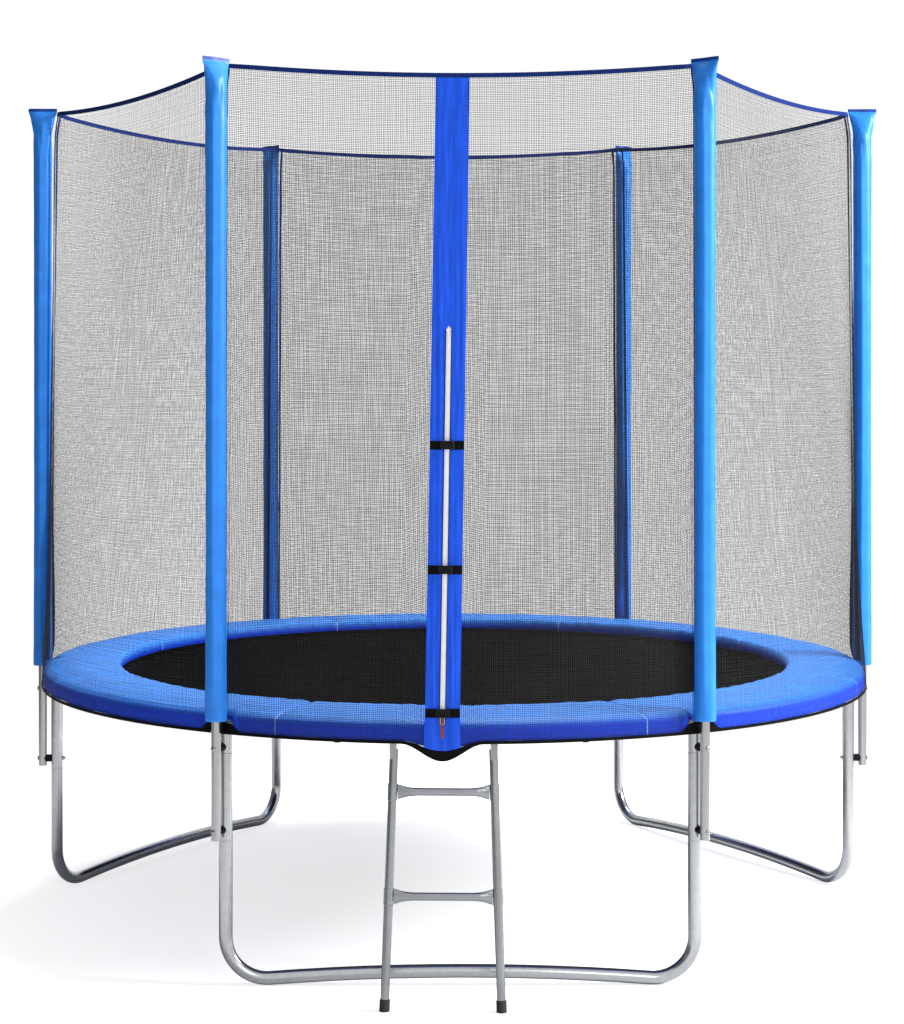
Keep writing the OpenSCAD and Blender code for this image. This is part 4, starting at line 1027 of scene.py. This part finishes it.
class TRAMPOLINE_OT_pad(bpy.types.Operator):
    """Lays the padded cover over the springs: sewn panels, a crowned top, and a skirt notched at the poles"""

    bl_idname = "trampoline.pad"
    bl_label = "Edge pad"

    def execute(self, context):
        pad = props().pad
        a = around(1440)[:, None]
        # The outer edge draws in round each pole
        near = (a - STEP * np.round(a / STEP)) * POLE_R
        notch = 42 * MM
        inside = np.sqrt(np.clip(notch**2 - near**2, 0, None))
        edge = np.where(np.abs(near) < notch, POLE_R * np.cos(near / POLE_R) - inside, 9.0)
        outer = np.minimum(pad.outer, edge)
        outer = -4 * MM * np.log(np.exp(-outer / (4 * MM)) + np.exp(-(edge + 3 * MM) / (4 * MM)))
        outer = np.minimum(outer, pad.outer)
        low, top = PAD_LOW, PAD_LOW + pad.thickness
        # Each point's distance across the pad as a share, and its height. The inner lip hangs on the mat's
        # edge, and the foam thins out towards the skirt
        lip = [(0.30, 0), (0.2, 0), (0.17, -1), (0.1, -8), (0.03, -8.4), (0.012, -6), (0.003, 1), (0.0, 9),
               (0.003, 16), (0.012, 23), (0.028, 27)]
        crown = [(f, top + 3 * MM * math.sin(math.pi * f) - 11 * MM * smooth_step((f - 0.55) / 0.6))
                 for f in np.linspace(0.05, 0.925, 20)]
        brow = [(0.953, 12), (0.976, 14.5), (0.990, 18), (0.998, 23)]
        outside = [(1.0, low), (1.0, 0.676), (1.0, 0.668), (1.0, SKIRT_Z + 1 * MM), (0.9985, SKIRT_Z)]
        behind = [(0.9935, SKIRT_Z), (0.992, SKIRT_Z + 1 * MM), (0.992, 0.668), (0.992, 0.676), (0.992, low)]
        share = np.array(
            [(f, low + h * MM) for f, h in lip] + crown + [(f, top - h * MM) for f, h in brow]
            + outside + behind + [(0.9, low), (0.7, low), (0.5, low)]
        )
        f, h = share[None, :, 0], share[None, :, 1]
        r = pad.inner + f * (outer - pad.inner)
        upper = (h > low + 1 * MM) & (f < 0.999)
        spacing = TURN / pad.seams
        off = (a / spacing - 0.5 - np.round(a / spacing - 0.5)) * spacing
        away = np.abs(off) * PAD_MID
        draw = np.exp(-away / 0.006) + 0.22 * np.exp(-away / 0.04)
        pucker = np.exp(-away / 0.06) * np.sin(r * 260 + 3 * np.sin(a * 9)) * 1.3 * MM
        soft = 1.1 * MM * folds(r * np.cos(a) * 15, r * np.sin(a) * 15, 4)
        hem = 0.8 * MM * np.sin(a * 96 + 2 * np.sin(a * 7)) * np.exp(-((f - 0.04) / 0.03) ** 2)
        seam = pad.seam_depth * draw * np.clip((h - low) / pad.thickness, 0, 1)
        lift = np.where(upper, pucker + soft + hem - seam, 0)
        wall = np.where((f > 0.97) & (h < top - 5 * MM), 0.0, lift)
        skirt = (f > 0.99) & (h < low + 1 * MM)
        # The skirt hangs in slow waves, and is drawn down with the net at the door
        door_a = -math.pi / 2 + math.asin(props().door.low_x / NET_R)
        away = np.abs((a - door_a + math.pi) % TURN - math.pi) * NET_R
        fall = (1 + np.cos(math.pi * np.clip(away / props().door.dip_half, 0, 1))) / 2
        drop = np.where(skirt, (low - h) / (low - SKIRT_Z), 0)
        height = h + wall - drop * (22 * MM * fall + 0.6 * MM * np.sin(a * 31))
        # At the poles the skirt is cut short
        height = np.where(skirt & (outer < pad.outer - 2 * MM), np.maximum(height, low - 4 * MM), height)
        reach = r + np.where(skirt, drop * 0.6 * MM * np.sin(a * 57), 0)
        reach = reach + np.where(f < 0.01, 1.0 * MM * np.sin(a * 120), 0)
        points = round_ring(reach, a, height)
        uv = points_of(a * PAD_MID, along_path(share * (0.227, 1)))
        rows = len(share)
        faces = quads(len(a), rows, wrap=True, flip=True)
        for c in range(len(a)):
            p, q = c * rows, (c + 1) % len(a) * rows
            faces.append((p + rows - 1, p, q, q + rows - 1))
        piece = new_piece("edge_pad_cover", points.reshape(-1, 3), faces, pad_cover(), uv.reshape(-1, 2))
        finish_piece(piece, ["edge_pad"])
        return {"FINISHED"}


class TRAMPOLINE_OT_ties(bpy.types.Operator):
    """Ties the pad to the frame ring with elastic loops"""

    bl_idname = "trampoline.ties"
    bl_label = "Pad ties"

    def execute(self, context):
        shell = Shell()
        turn = np.linspace(math.radians(97), math.radians(443), 30)
        loop = polar(1.0, turn) * 18.7 * MM
        path = np.concatenate([
            [(-4.2 * MM, 23.6 * MM), (-3.6 * MM, 21 * MM)], loop, [(3.6 * MM, 21 * MM), (4.2 * MM, 23.6 * MM)]
        ])
        y = even(-6 * MM, 6 * MM, 4)
        for k in range(2 * POSTS):
            strap(shell, path, 0.6 * MM, y, y, (k + 0.5) * STEP / 2, RING_R, swap=True)
        piece = shell.piece("pad_tie_loops", black_webbing())
        finish_piece(piece, ["pad_ties"], crisp=50)
        return {"FINISHED"}


class TRAMPOLINE_OT_band(bpy.types.Operator):
    """Sews the door's band in two halves, creased along the zip and pulled in at the straps"""

    bl_idname = "trampoline.band"
    bl_label = "Door band"

    def execute(self, context):
        door = props().door
        half = door.width / 2
        halves, zip_fold_shade = Shell(), Shell()
        for m in (-1, 1):
            cols = []
            for f in np.linspace(0, 1, 12):
                x0 = m * half * f
                bottom = float(low_hem_z(1, band_s(x0, np.array(0.64)))) + 0.3 * MM
                top = float(high_z(band_s(x0, np.array(2.33)), HEM_Z)) - props().net.tape - 0.3 * MM
                rows = even(bottom, top, 150)
                zipped = smooth_step((rows - ZIP_LOW + 4 * MM) / (4 * MM))
                zipped = zipped * smooth_step((ZIP_TOP + 4 * MM - rows) / (4 * MM))
                inner = 0.02 * MM + (door.zip_width / 2 + 0.28 * MM) * zipped
                x = m * (inner + (half - inner) * f)
                # Creases run up the band, and the straps press it flat
                straps = sum(np.exp(-(((rows - q) / 0.03) ** 2)) for q in STRAP_Z)
                flat = 1 - np.clip(straps, 0, 1) * 0.8
                crease = 0.9 * folds(x * 190 + rows * 3, rows * 5, 6) + 0.5 * np.sin(x * 420 + rows * 7)
                crease = crease * MM
                crease = crease * (1 - 0.7 * smooth_step((rows - 1.7) / 0.3))
                crease = crease * np.sin(math.pi * np.clip(f, 0.02, 0.98)) ** 0.7 * flat
                belly = 1.2 * MM * math.sin(math.pi * f) * (1 - zipped * 0.4)
                belly = belly * np.clip((rows - 0.69) / 0.05, 0, 1)
                # Below the lowest strap each half bellies out, with a groove under the zip
                loose = smooth_step((0.714 - rows) / 0.012)
                belly = belly + 5.5 * MM * loose * smooth_step((f - 0.16) / 0.6) * (1 - 0.25 * f)
                x = x + 0.035 * loose * (x - m * inner)
                cols.append((x, rows, crease * 0.8 + belly * 0.6))
            x, h, push = (np.stack(q) for q in zip(*cols[::m]))
            outer, inner = on_band(x, h, push + 0.8 * MM), on_band(x, h, push - 0.8 * MM)
            halves.sheet(outer, inner, points_of(x, h))
            # A narrow fold of the band beside the zip: the fold is real, and its navy colour is painted shade
            # along the folded edge
            edge = door.zip_width / 2 - 1.1 * MM
            px = m * np.array([edge, edge + 1.0 * MM, edge + 2.2 * MM])[::m]
            px, rows = np.broadcast_arrays(px[:, None], even(ZIP_LOW - 2 * MM, ZIP_TOP + 2 * MM, 90))
            push = 1.6 * MM + 0.25 * MM * np.sin(rows * 160)
            outer, inner = on_band(px, rows, push), on_band(px, rows, push - 1.6 * MM)
            zip_fold_shade.sheet(outer, inner, points_of(px, rows))
        piece = halves.piece("door_band_halves", band_cloth())
        finish_piece(piece, ["door_band"], crisp=50)
        fold = finish_piece(zip_fold_shade.piece("zip_side_fold_shade", navy_tape()))
        return {"FINISHED"}


class TRAMPOLINE_OT_zip(bpy.types.Operator):
    """Sets the white zip in the door: two tapes and a row of teeth on each"""

    bl_idname = "trampoline.zip"
    bl_label = "Zip"

    def execute(self, context):
        door = props().door
        tapes, teeth = Shell(), Shell()
        rows = even(ZIP_LOW, ZIP_TOP, 60)
        for m in (-1, 1):
            x = m * np.array([0.7, 2.5, 5.0, door.zip_width / 2 / MM])[::m, None] * MM
            x, h = np.broadcast_arrays(x, rows)
            tapes.sheet(on_band(x, h, 0.35 * MM), on_band(x, h, -0.35 * MM), points_of(x, h))
        box = [(0, 1, 3, 2), (4, 6, 7, 5), (0, 4, 5, 1), (2, 3, 7, 6), (0, 2, 6, 4), (1, 5, 7, 3)]
        count = int((ZIP_TOP - ZIP_LOW) / door.tooth)
        for k in range(count):
            for m in (-1, 1):
                z = ZIP_LOW + 1 * MM + door.tooth * (k + (0.5 if m > 0 else 0))
                tall = door.tooth * 0.34
                ends = (-1.0, 2.9) if m > 0 else (-2.9, 1.0)
                spots = np.array([
                    (x * MM, z + q * tall, off * MM) for off in (1.15, -1.15) for q in (-1, 1) for x in ends
                ])
                teeth.add(on_band(*spots.T), box)
        piece = finish_piece(tapes.piece("zip_cloth_tapes", zip_cloth()), ["zip_tapes"])
        finish_piece(teeth.piece("zip_teeth", zip_cloth(), smooth=False))
        return {"FINISHED"}


class TRAMPOLINE_OT_straps(bpy.types.Operator):
    """Threads the closing straps from the band's edges into their buckles"""

    bl_idname = "trampoline.straps"
    bl_label = "Closing straps"

    def execute(self, context):
        door = props().door
        shell = Shell()
        half = door.strap / 2
        for z in STRAP_Z:
            for m in (-1, 1):
                x = even(12.5 * MM, 43.3 * MM, 14)
                # The webbing rises from where it is sewn to the band into its buckle
                lift = 2.5 * MM - 0.35 * MM * smooth_step((x - 27 * MM) / (12 * MM))
                lift = lift + 0.25 * MM * np.sin(x * 300)
                x, h = np.meshgrid((m * x)[::m], even(-half, half, 6), indexing="ij")
                y = -np.broadcast_to(lift[::m, None], x.shape)
                grids = [carried(on_zip(z), points_of(x, y + q, h)) for q in (-0.65 * MM, 0.65 * MM)]
                shell.sheet(*grids, points_of(x, h))
        piece = shell.piece("closing_straps", black_webbing())
        finish_piece(piece, ["door_straps"], crisp=50)
        return {"FINISHED"}


def finish_nodes(nodes, material):
    """Gives the frame's own pieces a better finish through their slots."""
    for name in nodes:
        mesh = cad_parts[name].data
        mesh.materials.clear()
        mesh.materials.append(material)


def numbered(stem):
    return [f"{stem}_{i}" for i in range(1, POSTS + 1)]


class TRAMPOLINE_OT_steel(bpy.types.Operator):
    """Finishes the ring, legs, poles, ladder, rings and fasteners in their metals"""

    bl_idname = "trampoline.steel"
    bl_label = "Steelwork"

    def execute(self, context):
        legs = ["base_leg_front", "base_leg_left", "base_leg_right"]
        finish_nodes(numbered("frame_rail") + numbered("leg_upright") + legs, galvanised_steel())
        finish_nodes(numbered("pole_lower") + numbered("pole_upper"), pole_steel())
        finish_nodes(["pole_bolts", "pole_nuts", "mat_rings"], zinc_plate())
        finish_nodes(["ladder_rail_left", "ladder_rail_right", "ladder_rungs"], ladder_coat())
        finish_nodes(["zip_slider", "zip_pull"], red_lacquer())
        return {"FINISHED"}


class TRAMPOLINE_OT_plastics(bpy.types.Operator):
    """Finishes the caps, spacers, buckles and the ladder's feet in plastic and rubber"""

    bl_idname = "trampoline.plastics"
    bl_label = "Plastics"

    def execute(self, context):
        finish_nodes(["pole_spacers"], moulded_plastic("moulded_pp", "#101011", 0.45))
        finish_nodes(["pole_caps"], moulded_plastic("moulded_grey_pp", "#3a3b3d", 0.45))
        buckles = ["buckle_sockets", "buckle_clip_1", "buckle_clip_2", "buckle_clip_3"]
        finish_nodes(buckles, moulded_plastic("moulded_acetal", "#0a0a0b", 0.35))
        finish_nodes(["ladder_feet"], rubber())
        return {"FINISHED"}


class TRAMPOLINE_OT_stage(bpy.types.Operator):
    """Sets the pale floor, the soft lamps, the white surround and the camera"""

    bl_idname = "trampoline.stage"
    bl_label = "Studio"

    def execute(self, context):
        scene = context.scene
        material, tree = blank("white_studio_floor")
        if tree:
            path = add(tree, "ShaderNodeLightPath")
            direct = calc(tree, "MAXIMUM", path.outputs["Is Camera Ray"], path.outputs["Is Transmission Ray"])
            seen = calc(tree, "MAXIMUM", direct, path.outputs["Is Glossy Ray"])
            # Near the object the floor takes its shadow, and further out it runs into the white behind
            away = add(tree, "ShaderNodeVectorMath", {"operation": "LENGTH"}, Vector=place(tree))
            far = add(
                tree, "ShaderNodeMapRange", Value=away.outputs["Value"], From_Min=1.8, From_Max=3.5
            ).outputs["Result"]
            far = calc(tree, "MULTIPLY", seen, far)
            bright = calc(tree, "MAXIMUM", far, calc(tree, "MULTIPLY", direct, 0.7))
            tint = mix(tree, calc(tree, "SUBTRACT", 1.0, far), (0, 0, 0, 1), linear("#f2f2f2"))
            paint = add(tree, "ShaderNodeBsdfDiffuse", Color=tint)
            glow = add(tree, "ShaderNodeEmission", Strength=bright)
            close(tree, add(tree, "ShaderNodeAddShader", _0=paint.outputs[0], _1=glow.outputs[0]))
        bpy.ops.object.select_all(action="DESELECT")
        bpy.ops.mesh.primitive_plane_add(size=90, location=(0, 0, -1 * MM))
        floor = context.view_layer.objects.active
        floor.name = "studio_floor"
        bpy.ops.object.transform_apply(location=True)
        floor.data.materials.append(material)
        # Grey cards stand out of sight at both sides, so that round steel shows its dark edges
        grey, tree = blank("grey_studio_card")
        if tree:
            close(tree, add(tree, "ShaderNodeEmission", Strength=0.16))
        for name, size, spot, turn in (
            ("studio_card_left", (12, 6.4, 1), (-3.9, -1.2, 3.2), 90),
            ("studio_card_right", (3.4, 5, 1), (3.7, 2.6, 2.5), -55),
        ):
            bpy.ops.object.select_all(action="DESELECT")
            bpy.ops.mesh.primitive_plane_add(size=1)
            card = context.view_layer.objects.active
            card.name = name
            card.scale = size
            card.rotation_euler = (math.radians(90), 0, math.radians(turn))
            card.location = spot
            bpy.ops.object.transform_apply(location=True, rotation=True, scale=True)
            card.visible_camera = False
            card.data.materials.append(grey)
        scene.world = world = bpy.data.worlds.new("white_surround")
        world.use_nodes = True
        tree = world.node_tree
        tree.nodes.clear()
        path = add(tree, "ShaderNodeLightPath")
        seen = calc(tree, "MAXIMUM", path.outputs["Is Camera Ray"], path.outputs["Is Glossy Ray"])
        seen = calc(tree, "MAXIMUM", seen, path.outputs["Is Transmission Ray"])
        # Full white where it is seen, and less where it lights the object
        strength = calc(tree, "ADD", calc(tree, "MULTIPLY", seen, 0.65), 0.35)
        back = add(tree, "ShaderNodeBackground", Color=(1, 1, 1, 1), Strength=strength)
        add(tree, "ShaderNodeOutputWorld", Surface=back.outputs[0])
        for name, spot, aim_z, size, power in (
            ("key_softbox", (6.8, -1.5, 4.4), 1.2, 2.4, 960),
            ("front_softbox", (2.6, -7.5, 3.5), 1.0, 3.5, 105),
            ("top_softbox", (0.6, 1.6, 6.2), 0.7, 3.0, 420),
        ):
            lamp = bpy.data.lights.new(name, "AREA")
            lamp.size = size
            lamp.energy = power
            lamp_object = bpy.data.objects.new(name, lamp)
            lamp_object.location = spot
            way = Vector((0, 0, aim_z)) - Vector(spot)
            lamp_object.rotation_euler = way.to_track_quat("-Z", "Y").to_euler()
            scene.collection.objects.link(lamp_object)
        camera = bpy.data.cameras.new("camera")
        camera.sensor_fit = "VERTICAL"
        camera.sensor_height = SENSOR
        camera.lens = FOCAL_PX * SENSOR / VIEW_PX
        camera.shift_x = (PICTURE_PX[0] - MIDDLE_PX[0]) / VIEW_PX
        camera.shift_y = (MIDDLE_PX[1] - PICTURE_PX[1]) / VIEW_PX
        camera.clip_end = 200
        viewer = bpy.data.objects.new("camera", camera)
        viewer.location = (-0.1226, RING_Y - 6.6509, 1.5615)
        viewer.rotation_euler = (math.radians(90), 0, -0.0041)
        scene.collection.objects.link(viewer)
        scene.camera = viewer
        scene.view_settings.view_transform = "Standard"
        return {"FINISHED"}


OPERATORS = (
    TRAMPOLINE_OT_stage, TRAMPOLINE_OT_steel, TRAMPOLINE_OT_plastics, TRAMPOLINE_OT_mat,
    TRAMPOLINE_OT_springs, TRAMPOLINE_OT_pad, TRAMPOLINE_OT_ties, TRAMPOLINE_OT_sleeves,
    TRAMPOLINE_OT_foams, TRAMPOLINE_OT_net, TRAMPOLINE_OT_tapes, TRAMPOLINE_OT_band,
    TRAMPOLINE_OT_zip, TRAMPOLINE_OT_straps,
)


class TRAMPOLINE_PT_panel(bpy.types.Panel):
    """Lists the pieces and their sizes"""

    bl_idname = "TRAMPOLINE_PT_panel"
    bl_label = "Trampoline"
    bl_space_type = "VIEW_3D"
    bl_region_type = "UI"
    bl_category = "Trampoline"

    def draw(self, context):
        for group in ("net", "door", "pad", "mat", "colours"):
            values = getattr(context.scene.trampoline, group)
            box = self.layout.box()
            for name in values.bl_rna.properties.keys():
                if name not in ("rna_type", "name"):
                    box.prop(values, name)
        for operator in OPERATORS:
            self.layout.operator(operator.bl_idname)


CLASSES = (NetSizes, DoorSizes, PadSizes, MatSizes, Colours, Trampoline, *OPERATORS, TRAMPOLINE_PT_panel)


def register():
    for cls in CLASSES:
        bpy.utils.register_class(cls)
    bpy.types.Scene.trampoline = PointerProperty(type=Trampoline)


def unregister():
    del bpy.types.Scene.trampoline
    for cls in reversed(CLASSES):
        bpy.utils.unregister_class(cls)


def main():
    register()
    for operator in OPERATORS:
        group, name = operator.bl_idname.split(".")
        getattr(getattr(bpy.ops, group), name)()


if __name__ == "__main__":
    main()
